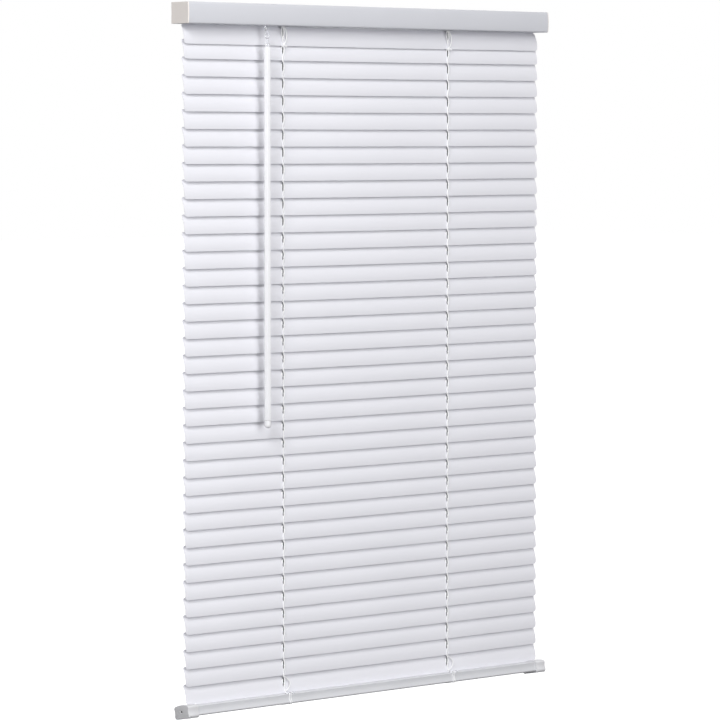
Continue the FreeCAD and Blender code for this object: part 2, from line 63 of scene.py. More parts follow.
MM = 0.001
MM_PER_M = 1000
FULL_TURN = 2 * math.pi
QUARTER = math.pi / 2
X_AXIS, Y_AXIS, Z_AXIS = np.eye(3)
LADDER_X: Pair = (-143.0, 143.0)
# Rout holes, lift cords and the rail's cord entries lie 1.2 mm to the left of each ladder.
HOLE_X: Pair = (-144.2, 141.8)


class Slot(Enum):
    """The record's material slots, which each new piece's dress holds; nothing here applies them."""

    SLATS = "slat_vinyl"
    HEADRAIL = "headrail_steel"
    RAIL = "rail_steel"
    CAPS = "cap_plastic"
    CLEAR = "clear_plastic"
    WAND = "wand_plastic"
    CORD = "cord_polyester"


class Side(Enum):
    """The two ends of the blind; the value is the sign of X."""

    LEFT = -1
    RIGHT = 1


# -------- surfaces


@dataclass
class Surface:
    """A closed surface: points in mm, faces as arrays of point numbers, UV pairs per face corner."""

    points: Points
    faces: list[Points]
    uv: list[Points] | None = None


def unit(vectors: Points) -> Points:
    """Bring vectors to length 1."""
    return vectors / np.linalg.norm(vectors, axis=-1, keepdims=True)


def beside(run: Points) -> Points:
    """Unit vectors a quarter turn clockwise from (y, z) directions: (y, z) becomes (z, -y)."""
    return unit(np.stack([run[:, 1], -run[:, 0]], -1))


def round_trip(path: Points) -> Points:
    """Central differences of a closed path."""
    return np.roll(path, -1, axis=0) - np.roll(path, 1, axis=0)


def quad_grid(rows: int, cols: int, loop_rows: bool = False, loop_cols: bool = False) -> Points:
    """Number the corners of each cell of a grid whose point (r, c) has the number r * cols + c.

    Args:
        rows: points along the first direction.
        cols: points along the second direction.
        loop_rows: the last row joins the first.
        loop_cols: the last column joins the first.

    Returns:
        An array (cell rows, cell columns, 4) of point numbers.
    """
    r = np.arange(rows if loop_rows else rows - 1)[:, None]
    c = np.arange(cols if loop_cols else cols - 1)[None, :]
    r1, c1 = (r + 1) % rows, (c + 1) % cols
    corners = (r * cols + c, r * cols + c1, r1 * cols + c1, r1 * cols + c)
    return np.stack(np.broadcast_arrays(*corners), -1)


def tube(rings: Points, looped: bool = False) -> Surface:
    """Skin a row of rings.

    The surface is the blend of neighbouring rings; open ends are closed by a fan to each end ring's
    middle, and a looped row joins its last ring to its first.  U runs 0 to 1 round a ring, and V is
    the distance in mm along the rings' middles.

    Args:
        rings: array (n, m, 3), n rings of m points.
        looped: the row of rings closes on itself.

    Returns:
        The closed surface.
    """
    n, m = rings.shape[:2]
    middles = rings.mean(axis=1)
    spread = np.ptp(rings, axis=1).max(1)
    steps = np.linalg.norm(np.diff(middles, axis=0), axis=1) + np.abs(np.diff(spread)) / 2
    along = np.append(np.concatenate([[0.0], np.cumsum(steps)]), steps.sum() + 1.0)
    cells = quad_grid(n, m, looped, True)
    rows, cols = np.indices(cells.shape[:2])
    u = np.stack([cols, cols + 1, cols + 1, cols], -1) / m
    v = along[np.stack([rows, rows, rows + 1, rows + 1], -1)]
    faces, uv = [cells.reshape(-1, 4)], [np.stack([u, v], -1).reshape(-1, 4, 2)]
    points = rings.reshape(-1, 3)
    if not looped:
        points = np.concatenate([points, middles[:1], middles[-1:]])
        c = np.arange(m)
        last_ring = (n - 1) * m
        first = np.stack([(c + 1) % m, c, np.full(m, n * m)], -1)
        last = np.stack([last_ring + c, last_ring + (c + 1) % m, np.full(m, n * m + 1)], -1)
        faces.append(np.concatenate([first, last]))
        round_it = np.stack([c, c + 1, c + 0.5], -1) / m
        uv.append(np.tile(np.stack([round_it, np.zeros((m, 3))], -1), (2, 1, 1)))
    return Surface(points, faces, uv)


def shell(middle: Points, normal: Points, half: float, keep: Points, looped: bool = False) -> Surface:
    """Thicken a sheet given on a grid and wall its rims.

    The two faces are middle + half * normal and middle - half * normal.  Each cell edge with no kept
    cell beyond it gets a wall between the two faces.

    Args:
        middle: array (rows, cols, 3), the sheet's middle surface.
        normal: array like middle, unit normals.
        half: half the sheet's thickness in mm.
        keep: array of cells that stay.
        looped: the last column joins the first.

    Returns:
        The closed surface.
    """
    total = middle.shape[0] * middle.shape[1]
    cells = quad_grid(*middle.shape[:2], False, looped)
    padded = np.pad(keep, 1)
    if looped:
        padded[1:-1, 0], padded[1:-1, -1] = keep[:, -1], keep[:, 0]
    beyond = (padded[:-2, 1:-1], padded[1:-1, 2:], padded[2:, 1:-1], padded[1:-1, :-2])
    front = cells[keep]
    walls = []
    for edge, neighbour in enumerate(beyond):
        rim = keep & ~neighbour
        a, b = cells[..., edge][rim], cells[..., (edge + 1) % 4][rim]
        walls.append(np.stack([b, a, a + total, b + total], -1))
    faces = np.concatenate([front, front[:, ::-1] + total] + walls)
    points = np.concatenate([middle + half * normal, middle - half * normal]).reshape(-1, 3)
    used, faces = np.unique(faces, return_inverse=True)
    return Surface(points[used], [faces.reshape(-1, 4)])


def joined(surfaces: list[Surface]) -> Surface:
    """Put several closed surfaces in one, each turned to face outwards first."""
    turned_out = [facing_out(s) for s in surfaces]
    starts = np.cumsum([0] + [len(s.points) for s in turned_out[:-1]])
    faces = [f + start for s, start in zip(turned_out, starts) for f in s.faces]
    uv = [u for s in turned_out for u in s.uv] if all(s.uv for s in turned_out) else None
    return Surface(np.concatenate([s.points for s in turned_out]), faces, uv)


def facing_out(surface: Surface) -> Surface:
    """Turn a closed surface's faces outwards.

    The enclosed volume is the sum over each face's triangles of p0 . (p1 x p2) / 6, and it is
    positive when the faces point out.

    Args:
        surface: a closed surface.

    Returns:
        The same surface, its faces reversed if the volume came out negative.
    """
    centre = surface.points.mean(axis=0)
    volume = 0.0
    for faces in surface.faces:
        p = surface.points[faces] - centre
        for k in range(1, faces.shape[1] - 1):
            volume += np.einsum("ij,ij->i", p[:, 0], np.cross(p[:, k], p[:, k + 1])).sum() / 6
    if volume >= 0:
        return surface
    flipped = None if surface.uv is None else [u[:, ::-1] for u in surface.uv]
    return Surface(surface.points, [f[:, ::-1] for f in surface.faces], flipped)


def outline(corners: Points, bows: Points, cuts: Points, side_steps: int, corner_steps: int) -> Points:
    """Draw a closed outline with bowed sides and rounded corners.

    Side i runs from corner i to corner i + 1 and bows outwards by bow * 4t(1 - t).  Each corner is
    cut back by its cut, and a quadratic curve (1-t)^2 A + 2t(1-t) C + t^2 B with the corner C as its
    handle bridges the gap from A to B.

    Args:
        corners: array (n, 2), in order round the outline.
        bows: array (n,), how far each side stands out at its middle.
        cuts: array (n,), how far each corner is cut back.
        side_steps: points on a side.
        corner_steps: points between two sides.

    Returns:
        Array (n * (side_steps + corner_steps), 2).
    """
    ahead = np.roll(corners, -1, axis=0)
    run = ahead - corners
    length = np.linalg.norm(run, axis=1)
    out = beside(run) * np.sign(np.cross(corners, ahead).sum())
    ends = cuts / length, 1 - np.roll(cuts, -1) / length
    t = ends[0][:, None] + (ends[1] - ends[0])[:, None] * np.linspace(0, 1, side_steps)
    bow = bows[:, None] * 4 * t * (1 - t)
    sides = corners[:, None] + run[:, None] * t[..., None] + out[:, None] * bow[..., None]
    s = np.linspace(0, 1, corner_steps + 2)[1:-1][None, :, None]
    before = np.roll(sides, 1, axis=0)[:, -1][:, None]
    bends = (1 - s) ** 2 * before + 2 * s * (1 - s) * corners[:, None] + s**2 * sides[:, :1]
    return np.concatenate([bends, sides], axis=1).reshape(-1, 2)


def outward(loop: Points) -> Points:
    """Unit normals of a closed outline, which face out of it."""
    return beside(round_trip(loop)) * np.sign(np.cross(loop, np.roll(loop, -1, axis=0)).sum())


def round_ring(count: int) -> Points:
    """A unit circle of count points."""
    angle = np.linspace(0, FULL_TURN, count, endpoint=False)
    return np.stack([np.cos(angle), np.sin(angle)], -1)


def box_ring(like: Points, low: Pair, high: Pair, centre: Points) -> Points:
    """The points of a rectangle in the directions of a loop's points, seen from a centre."""
    ray = like - centre
    limit = np.where(ray > 0, np.array(high) - centre, centre - np.array(low))
    return centre + ray * (limit / np.maximum(np.abs(ray), 1e-9)).min(axis=1, keepdims=True)


def turned(points: Points, angle: float) -> Points:
    """Turn (y, z) or (x, y, z) about X: y' = y cos a - z sin a, z' = y sin a + z cos a."""
    c, s = math.cos(angle), math.sin(angle)
    out = points.copy()
    out[..., -2] = points[..., -2] * c - points[..., -1] * s
    out[..., -1] = points[..., -2] * s + points[..., -1] * c
    return out


def on_x(x: Points, loops: Points) -> Points:
    """Stand loops of (y, z) pairs at the given X values: array (n, m, 3)."""
    flat = np.broadcast_to(loops, (len(x),) + loops.shape[-2:])
    return np.concatenate([np.broadcast_to(x[:, None, None], flat.shape[:2] + (1,)), flat], -1)


def wire(path: Points, radius: float, sides: int = 8, up: Points = X_AXIS, looped: bool = False) -> Surface:
    """Carry a circle along a path.

    Ring i is path_i + radius * (cos a * side + sin a * other), where side is up x tangent and other
    is tangent x side.

    Args:
        path: array (n, 3).
        radius: the wire's radius.
        sides: points round the ring.
        up: a direction, or one for each point, that the path never runs along.
        looped: the path closes on itself.

    Returns:
        The closed surface.
    """
    tangent = unit(round_trip(path) if looped else np.gradient(path, axis=0))
    side = unit(np.cross(up, tangent))
    other = np.cross(tangent, side)
    ring = round_ring(sides)
    rings = ring[None, :, :1] * side[:, None] + ring[None, :, 1:] * other[:, None]
    return tube(path[:, None] + radius * rings, looped)


def hoop(centre: Points, large: float, radius: float, first: Points, second: Points) -> Surface:
    """A round loop of wire in the plane of two directions."""
    path = centre + large * (round_ring(40) @ np.stack([first, second]))
    return wire(path, radius, 12, np.cross(first, second), True)


def eased(points: list[Points], count: int, soften: int) -> Points:
    """A smooth path near a chain of points.

    The chain is resampled evenly along its length, then each point becomes the mean of its
    neighbours within a window, which rounds the corners; the two end points stay.

    Args:
        points: the chain, in mm.
        count: points wanted.
        soften: odd width of the window.

    Returns:
        Array (count, 3).
    """
    chain = np.array(points, float)
    along = np.concatenate([[0.0], np.cumsum(np.linalg.norm(np.diff(chain, axis=0), axis=1))])
    even = np.linspace(0, along[-1], count)
    path = np.stack([np.interp(even, along, chain[:, k]) for k in range(3)], -1)
    padded = np.pad(path, ((soften // 2, soften // 2), (0, 0)), mode="edge")
    window = np.ones(soften) / soften
    soft = np.stack([np.convolve(padded[:, k], window, "valid") for k in range(3)], -1)
    soft[0], soft[-1] = path[0], path[-1]
    return soft


def axial(profile: Points, origin: Points, axis: Points, ring: Points) -> Points:
    """Carry a ring along an axis: origin + height * axis + radius * ring, for each (radius, height)."""
    profile = np.array(profile, float)
    axis = unit(np.array(axis, float))
    spokes = ring[:, :1] * X_AXIS + ring[:, 1:] * np.cross(axis, X_AXIS)
    return origin + profile[:, 1, None, None] * axis + profile[:, 0, None, None] * spokes[None]


# -------- materials


def colour(code: str) -> tuple[float, float, float, float]:
    """Turn an sRGB hex colour into linear values with full opacity."""
    part = np.array([int(code[i : i + 2], 16) for i in (0, 2, 4)]) / 255.0
    linear = np.where(part <= 0.04045, part / 12.92, ((part + 0.055) / 1.055) ** 2.4)
    return (*(float(v) for v in linear), 1.0)


def add_node(tree: Tree, kind: str, inputs: dict | None = None, **settings: object) -> bpy.types.Node:
    """Add a shader node.

    Args:
        tree: the material's or world's node tree.
        kind: the node's class name.
        inputs: by socket name or number, a value to set or an output socket to link.
        settings: attributes of the node.

    Returns:
        The new node.
    """
    node = tree.nodes.new(kind)
    for key, value in settings.items():
        setattr(node, key, value)
    for key, value in (inputs or {}).items():
        if isinstance(value, bpy.types.NodeSocket):
            tree.links.new(value, node.inputs[key])
        else:
            node.inputs[key].default_value = value
    return node


def sum_of(tree: Tree, operation: str, *values: float | Socket) -> Socket:
    """Add a maths node on one to three values and hand out its result."""
    return add_node(tree, "ShaderNodeMath", dict(enumerate(values)), operation=operation).outputs[0]


@dataclass(frozen=True)
class Finish:
    """A surface whose grain is stretched noise in mm, with a second, broader unevenness."""

    name: str
    light: str
    dark: str
    grain: Triple
    depth: float
    rough: Pair
    metallic: float = 0.0
    ior: float = 1.5
    coat: float = 0.0
    clear: float = 0.0
    broad: float = 60.0
    soft: float = 0.0

    def shades(self, tree: Tree, amount: Socket, stops: Pair) -> Socket:
        """Run from the dark shade to the light one between two stops."""
        ramp = add_node(tree, "ShaderNodeValToRGB", {"Fac": amount})
        for element, stop, code in zip(ramp.color_ramp.elements, stops, (self.dark, self.light)):
            element.position, element.color = stop, colour(code)
        return ramp.outputs["Color"]

    def colour_of(self, tree: Tree, place: Socket, height: Socket) -> Socket:
        """Drift between the two shades, over patches about as wide as the finish's broad size."""
        patches = {"Vector": place, "Scale": MM_PER_M / self.broad, "Detail": 3.0}
        drift = add_node(tree, "ShaderNodeTexNoise", patches)
        return self.shades(tree, drift.outputs["Fac"], (0.3, 0.7))

    def relief(self, tree: Tree, place: Socket) -> Socket:
        """Height of the grain: noise whose cells are as long in X, Y and Z as the grain sizes say."""
        scale = tuple(MM_PER_M / size for size in self.grain)
        fit = add_node(tree, "ShaderNodeMapping", {"Vector": place, "Scale": scale}).outputs["Vector"]
        settings = {"Vector": fit, "Scale": 1.0, "Detail": 2.0, "Roughness": 0.5}
        return add_node(tree, "ShaderNodeTexNoise", settings).outputs["Fac"]

    def place_of(self, tree: Tree) -> Socket:
        """The coordinates that the pattern lies on: the row frame, in metres."""
        return add_node(tree, "ShaderNodeTexCoord").outputs["Object"]

    def make(self) -> bpy.types.Material:
        """Build the node material once and hand it out again after that.

        Returns:
            The material.
        """
        ready = bpy.data.materials.get(self.name)
        if ready is not None:
            return ready
        material, tree = new_material(self.name)
        place = self.place_of(tree)
        height = self.relief(tree, place)
        rise = {"Height": height, "Distance": self.depth * MM, "Strength": 1.0}
        bump = add_node(tree, "ShaderNodeBump", rise)
        reach = {"From Min": 0.3, "From Max": 0.7, "To Min": self.rough[0], "To Max": self.rough[1]}
        shading = {
            "Base Color": self.colour_of(tree, place, height),
            "Roughness": add_node(tree, "ShaderNodeMapRange", {"Value": height, **reach}).outputs["Result"],
            "Normal": bump.outputs["Normal"],
            "Metallic": self.metallic,
            "IOR": self.ior,
            "Coat Weight": self.coat,
            "Coat Roughness": 0.12,
            "Transmission Weight": self.clear,
            "Subsurface Weight": self.soft,
            "Subsurface Scale": 0.002,
        }
        shader = add_node(tree, "ShaderNodeBsdfPrincipled", shading)
        add_node(tree, "ShaderNodeOutputMaterial", {"Surface": shader.outputs["BSDF"]})
        material.diffuse_color = colour(self.light)
        return material


@dataclass(frozen=True)
class Braid(Finish):
    """A finish whose height is a round braid's crossing strands, drawn on the piece's own UV map."""

    strands: float = 4.0
    lay: float = 1.6

    def place_of(self, tree: Tree) -> Socket:
        """The piece's UV map: U once round the cord, V in mm along it."""
        return add_node(tree, "ShaderNodeTexCoord").outputs["UV"]

    def colour_of(self, tree: Tree, place: Socket, height: Socket) -> Socket:
        """Painted shade in the braid: the light colour on the strands and the dark one in the hollows between
        them.
        """
        return self.shades(tree, height, (0.0, 0.55))

    def relief(self, tree: Tree, place: Socket) -> Socket:
        """The larger of both hands' strands, |sin(pi * (strands * U + V / lay))| and with minus V."""
        split = add_node(tree, "ShaderNodeSeparateXYZ", {"Vector": place}).outputs
        waves = []
        for hand in (math.pi, -math.pi):
            run = sum_of(tree, "MULTIPLY", split["Y"], hand / self.lay)
            phase = sum_of(tree, "MULTIPLY_ADD", split["X"], math.pi * self.strands, run)
            waves.append(sum_of(tree, "ABSOLUTE", sum_of(tree, "SINE", phase)))
        return sum_of(tree, "MAXIMUM", *waves)


def new_material(name: str) -> tuple[bpy.types.Material, Tree]:
    """Make a node material with an empty tree."""
    material = bpy.data.materials.new(name)
    material.use_nodes = True
    material.node_tree.nodes.clear()
    return material, material.node_tree


# Rigid PVC drawn through a die: satin, with faint drag lines along the slat about 0.9 mm apart.
SLAT_VINYL = Finish(
    "extruded_white_pvc", "E7E7ED", "E4E4EA", (90.0, 0.9, 0.9), 0.012, (0.34, 0.44), ior=1.53, broad=180.0
)
# Coil-coated steel strip, roll-formed: a baked enamel whose orange peel is about 2 mm wide. Its white is a
# shade darker than the bottom tube's as painted shade.
HEADRAIL_ENAMEL_PAINTED_SHADE = Finish(
    "baked_enamel_on_rolled_steel_painted_shade", "D1D2D8", "CFD0D6", (2.4, 1.8, 1.8), 0.006, (0.5, 0.58), ior=1.42
)
# The same enamel on the heavier bottom tube, a shade lighter than the headrail's copy, which carries painted
# shade.
RAIL_ENAMEL = Finish(
    "baked_enamel_on_steel_tube", "D6D7DB", "D2D3D7", (2.4, 1.8, 1.8), 0.007, (0.48, 0.56), ior=1.42
)
# Injection-moulded ABS from a spark-eroded mould: an even 0.5 mm matt grain, slightly warm white. Its white
# is painted lighter than the bottom caps' as painted light on the headrail's ends.
CAP_ABS_PAINTED_LIGHT = Finish("moulded_white_abs_painted_light", "EAE4E0", "E6E0DC", (0.5, 0.5, 0.5), 0.02, (0.42, 0.5), ior=1.53)
# The bottom caps' ABS, a cooler, darker white than the headrail caps' copy, which carries painted light.
FOOT_ABS = Finish("moulded_cool_white_abs", "DDDDE0", "D8D8DB", (0.5, 0.5, 0.5), 0.02, (0.42, 0.5), ior=1.53)
# Unfilled nylon: milky and a little waxy, light soaks into it.
NYLON = Finish(
    "moulded_natural_nylon", "E6E2D6", "DDD8CA", (0.7, 0.7, 0.7), 0.015, (0.35, 0.48), ior=1.53, soft=0.1
)
# Grey ABS of the spring motor, matt from its mould.
MOTOR_ABS = Finish("moulded_grey_abs", "B9BBBE", "B2B4B8", (0.6, 0.6, 0.6), 0.02, (0.45, 0.55), ior=1.53)
# Polycarbonate, moulded clear: polished, with faint flow ripples 3 mm long.
POLYCARBONATE = Finish(
    "moulded_clear_polycarbonate", "F7F8FA", "F2F3F6", (1.2, 1.2, 3.0), 0.004, (0.04, 0.09),
    ior=1.58, clear=0.92,
)
# White acrylic drawn as a faceted stick: glossy, die lines along its length 0.8 mm apart.
WAND_ACRYLIC = Finish(
    "drawn_white_acrylic", "EBEBEE", "E8E8EB", (0.8, 0.8, 60.0), 0.006, (0.12, 0.2), ior=1.49, coat=0.3
)
# Zinc-plated cold-drawn bar: a bright metal with drawing lines along it.
ROD_STEEL = Finish(
    "zinc_plated_drawn_steel", "C9CCCF", "B4B8BC", (30.0, 0.4, 0.4), 0.006, (0.28, 0.42),
    metallic=1.0, broad=8.0,
)
# Hardened spring strip, rolled thin: darker, smoother metal with rolling lines.
SPRING_STEEL = Finish(
    "rolled_spring_steel", "9EA2A6", "8A8E93", (0.3, 0.3, 12.0), 0.004, (0.2, 0.32), metallic=1.0, broad=10.0
)
# Round-braided polyester: eight strands that cross each other about every 1.6 mm of cord.
CORD_POLYESTER = Braid("braided_white_polyester", "FBFBFC", "E3E4E7", (1.0, 1.0, 1.0), 0.05, (0.6, 0.75))
# The lift cord is the same braid in charcoal as painted shade: a white cord made dark so that the slats'
# holes it passes through read as shaded.
LIFT_CORD_PAINTED_SHADE = Braid("braided_polyester_painted_shade", "56585C", "3E4044", (1.0, 1.0, 1.0), 0.05, (0.65, 0.8))


@dataclass(frozen=True)
class Dress:
    """What a piece is made of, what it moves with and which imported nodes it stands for."""

    body: str
    slot: Slot
    finish: Finish
    stands_for: tuple[str, ...] = ()


def add_piece(name: str, surface: Surface, dress: Dress, sharp: float = 32.0) -> None:
    """Make a closed surface into a finished piece at the origin.

    Args:
        name: the piece's name.
        surface: points in mm and faces.
        dress: its material, body and the nodes it stands for.
        sharp: edges bent by more degrees than this stay crisp.
    """
    surface = facing_out(surface)
    mesh = bpy.data.meshes.new(name)
    faces = [face for block in surface.faces for face in block.tolist()]
    mesh.from_pydata((surface.points * MM).tolist(), [], faces)
    if surface.uv is not None:
        layer = mesh.uv_layers.new(name="round_and_along")
        layer.data.foreach_set("uv", np.concatenate([u.reshape(-1) for u in surface.uv]))
    mesh.polygons.foreach_set("use_smooth", np.ones(len(mesh.polygons), bool))
    mesh.set_sharp_from_angle(angle=math.radians(sharp))
    mesh.materials.append(dress.finish.make())
    piece = bpy.data.objects.new(name, mesh)
    bpy.context.scene.collection.objects.link(piece)
    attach(piece, dress.body)
    if dress.stands_for:
        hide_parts(*dress.stands_for)
    LOG.info("%s: %d points on %s", name, len(surface.points), dress.body)


# -------- slats


@dataclass
class SlatStack:
    """The 39 crowned slats and the ladder rungs that hold each one."""

    count: int = 39
    first_z: float = -39.8
    second_z: float = -56.9
    pitch: float = 21.5
    length: float = 612.0
    width: float = 25.0
    arc: float = 36.61
    gauge: float = 0.4
    corner: float = 4.0
    rout: Pair = (1.5, 4.9)
    closed: float = math.radians(75.0)
    first_raised: float = 1.2
    last_lowered: float = 1.3
    loose: float = math.radians(0.35)
    sag: float = 0.18
    over_cap: Pair = (284.0, 12.0)
    cap_lift: float = 0.8
    reach: float = 13.4
    tied_z: float = -2.25
    thread: float = 0.22
    slack: Pair = (0.45, 0.7)
    apart: float = 0.5
    drawn: float = -2.6
    bead: tuple[Pair, ...] = ((0.12, -0.7), (0.5, -0.35), (0.55, 0.2), (0.14, 0.75))

    def height(self, number: int) -> float:
        """A slat's height: the first rides up in its loops, and the last rests on the rail."""
        axis = self.first_z if number == 1 else self.second_z - self.pitch * (number - 2)
        return axis + self.hang(number)

    def hang(self, number: int) -> float:
        """How far a slat hangs off its turning axis."""
        return {1: self.first_raised, self.count: -self.last_lowered}.get(number, 0.0)

    def lines(self) -> tuple[Points, Points]:
        """Grid lines along and across a slat, gathered at the rounded ends and round the holes."""
        ends = self.length / 2 - self.corner * (1 - np.cos(np.linspace(0, QUARTER, 6)))
        near = np.array([-4.0, -1.5, -0.75, 0.0, 0.75, 1.5, 4.0])
        spread = np.array([-296, -284, -250, -200, -95, -48, 0, 48, 95, 200, 250, 284, 296.0])
        x = np.sort(np.concatenate([-ends, ends, near + HOLE_X[0], near + HOLE_X[1], spread]))
        half = np.array([0, 1.7, 3.4, 4.9, 6.4, 8.0, 9.6, 11.1, 12.5])
        return x, np.concatenate([-half[:0:-1], half])

    def blank(self) -> tuple[Points, Points, Points]:
        """One slat lying flat, its apex on the turning axis.

        Height is sqrt(arc^2 - y^2) - arc.  Across lines are drawn in near the ends so that the half
        width is w/2 - r + sqrt(r^2 - (r - d)^2) at the distance d from the end.  The grid points
        round a rout hole's two ends are moved onto half circles.

        Returns:
            Middle surface, normals and the kept cells.
        """
        along, across = self.lines()
        x, y = np.meshgrid(along, across, indexing="ij")
        d = np.clip(self.length / 2 - np.abs(x), 0, self.corner)
        edge = self.width / 2 - self.corner + np.sqrt(self.corner**2 - (self.corner - d) ** 2)
        y = y * edge / (self.width / 2)
        keep = np.ones((len(along) - 1, len(across) - 1), bool)
        w, h = self.rout
        near = 0.01
        mid_x, mid_y = (along[1:] + along[:-1]) / 2, (across[1:] + across[:-1]) / 2
        for centre in HOLE_X:
            keep &= ~((np.abs(mid_x - centre) < w)[:, None] & (np.abs(mid_y) < h)[None, :])
            tip = (np.abs(x - centre) < w + near) & (np.abs(np.abs(y) - h) < near)
            angle = QUARTER - (x - centre) / w * math.pi / 3
            x, y = (
                np.where(tip, centre + w * np.cos(angle), x),
                np.where(tip, np.sign(y) * (h - w + w * np.sin(angle)), y),
            )
        rise = np.sqrt(self.arc**2 - y**2)
        normal = np.stack([np.zeros_like(y), y / self.arc, rise / self.arc], -1)
        return np.stack([x, y, rise - self.arc], -1), normal, keep

    def rungs(self) -> Surface:
        """The two threads that cradle a slat at each ladder, with the knots that tie them.

        The upper thread follows the crown at sqrt(arc^2 - y^2) - arc plus its own thickness; the
        lower one hangs 0.45 mm below the slat's edges in a shallow curve 0.7 * (1 - (y / reach)^2).
        Both are drawn aside where they tie to the front cord.

        Returns:
            The threads and knots of one slat lying flat.
        """
        reach, drop = self.reach, self.tied_z
        y = np.linspace(-reach, reach, 9)
        over = np.sqrt(self.arc**2 - y**2) - self.arc + self.gauge / 2 + self.thread
        under = drop - self.slack[0] - self.slack[1] * (1 - (y / reach) ** 2)
        tied = np.abs(y) > reach - 0.1
        parts = []
        for x in LADDER_X:
            for offset, z in ((self.apart, over), (-self.apart, under)):
                side = x + offset - offset * tied * 0.8 + self.drawn * (tied & (y < 0))
                parts.append(wire(np.stack([side, y, np.where(tied, drop, z)], -1), self.thread, 5))
            for end in (-reach, reach):
                at = np.array([x + self.drawn * (end < 0), end, drop])
                parts.append(tube(axial(self.bead, at, (0, 0.3, 1.0), round_ring(6))))
        return joined(parts)

    def build(self) -> None:
        """Stand every slat in its place, each a little off the stack's angle as loose slats lie."""
        middle, normal, keep = self.blank()
        rungs = self.rungs()
        shift = np.random.default_rng(25).normal(0.0, 1.0, (self.count, 3))
        for number in range(1, self.count + 1):
            turn, dip = shift[number - 1, :2]
            angle = self.closed + self.loose * float(np.clip(turn, -1.5, 1.5))
            sag = self.sag * (1 - (middle[..., 0] / LADDER_X[1]) ** 2) * (1 + 0.3 * dip)
            place = np.array([0.0, 0.0, self.height(number)])
            lying = turned(middle, angle) + place
            over_cap = np.clip((np.abs(lying[..., 0]) - self.over_cap[0]) / self.over_cap[1], 0, 1)
            lying[..., 2] -= np.clip(sag, -0.3, 0.3)
            lying[..., 2] -= self.cap_lift * min(self.hang(number), 0.0) * over_cap
            body = f"slat_{number:02d}_body"
            dress = Dress(body, Slot.SLATS, SLAT_VINYL, (f"slat_{number:02d}",))
            slat = shell(lying, turned(normal, angle), self.gauge / 2, keep)
            add_piece(f"slat_vinyl_{number:02d}", slat, dress)
            tied = Surface(turned(rungs.points, angle) + place, rungs.faces, rungs.uv)
            add_piece(f"ladder_rungs_{number:02d}", tied, Dress(body, Slot.CORD, CORD_POLYESTER))


# -------- headrail


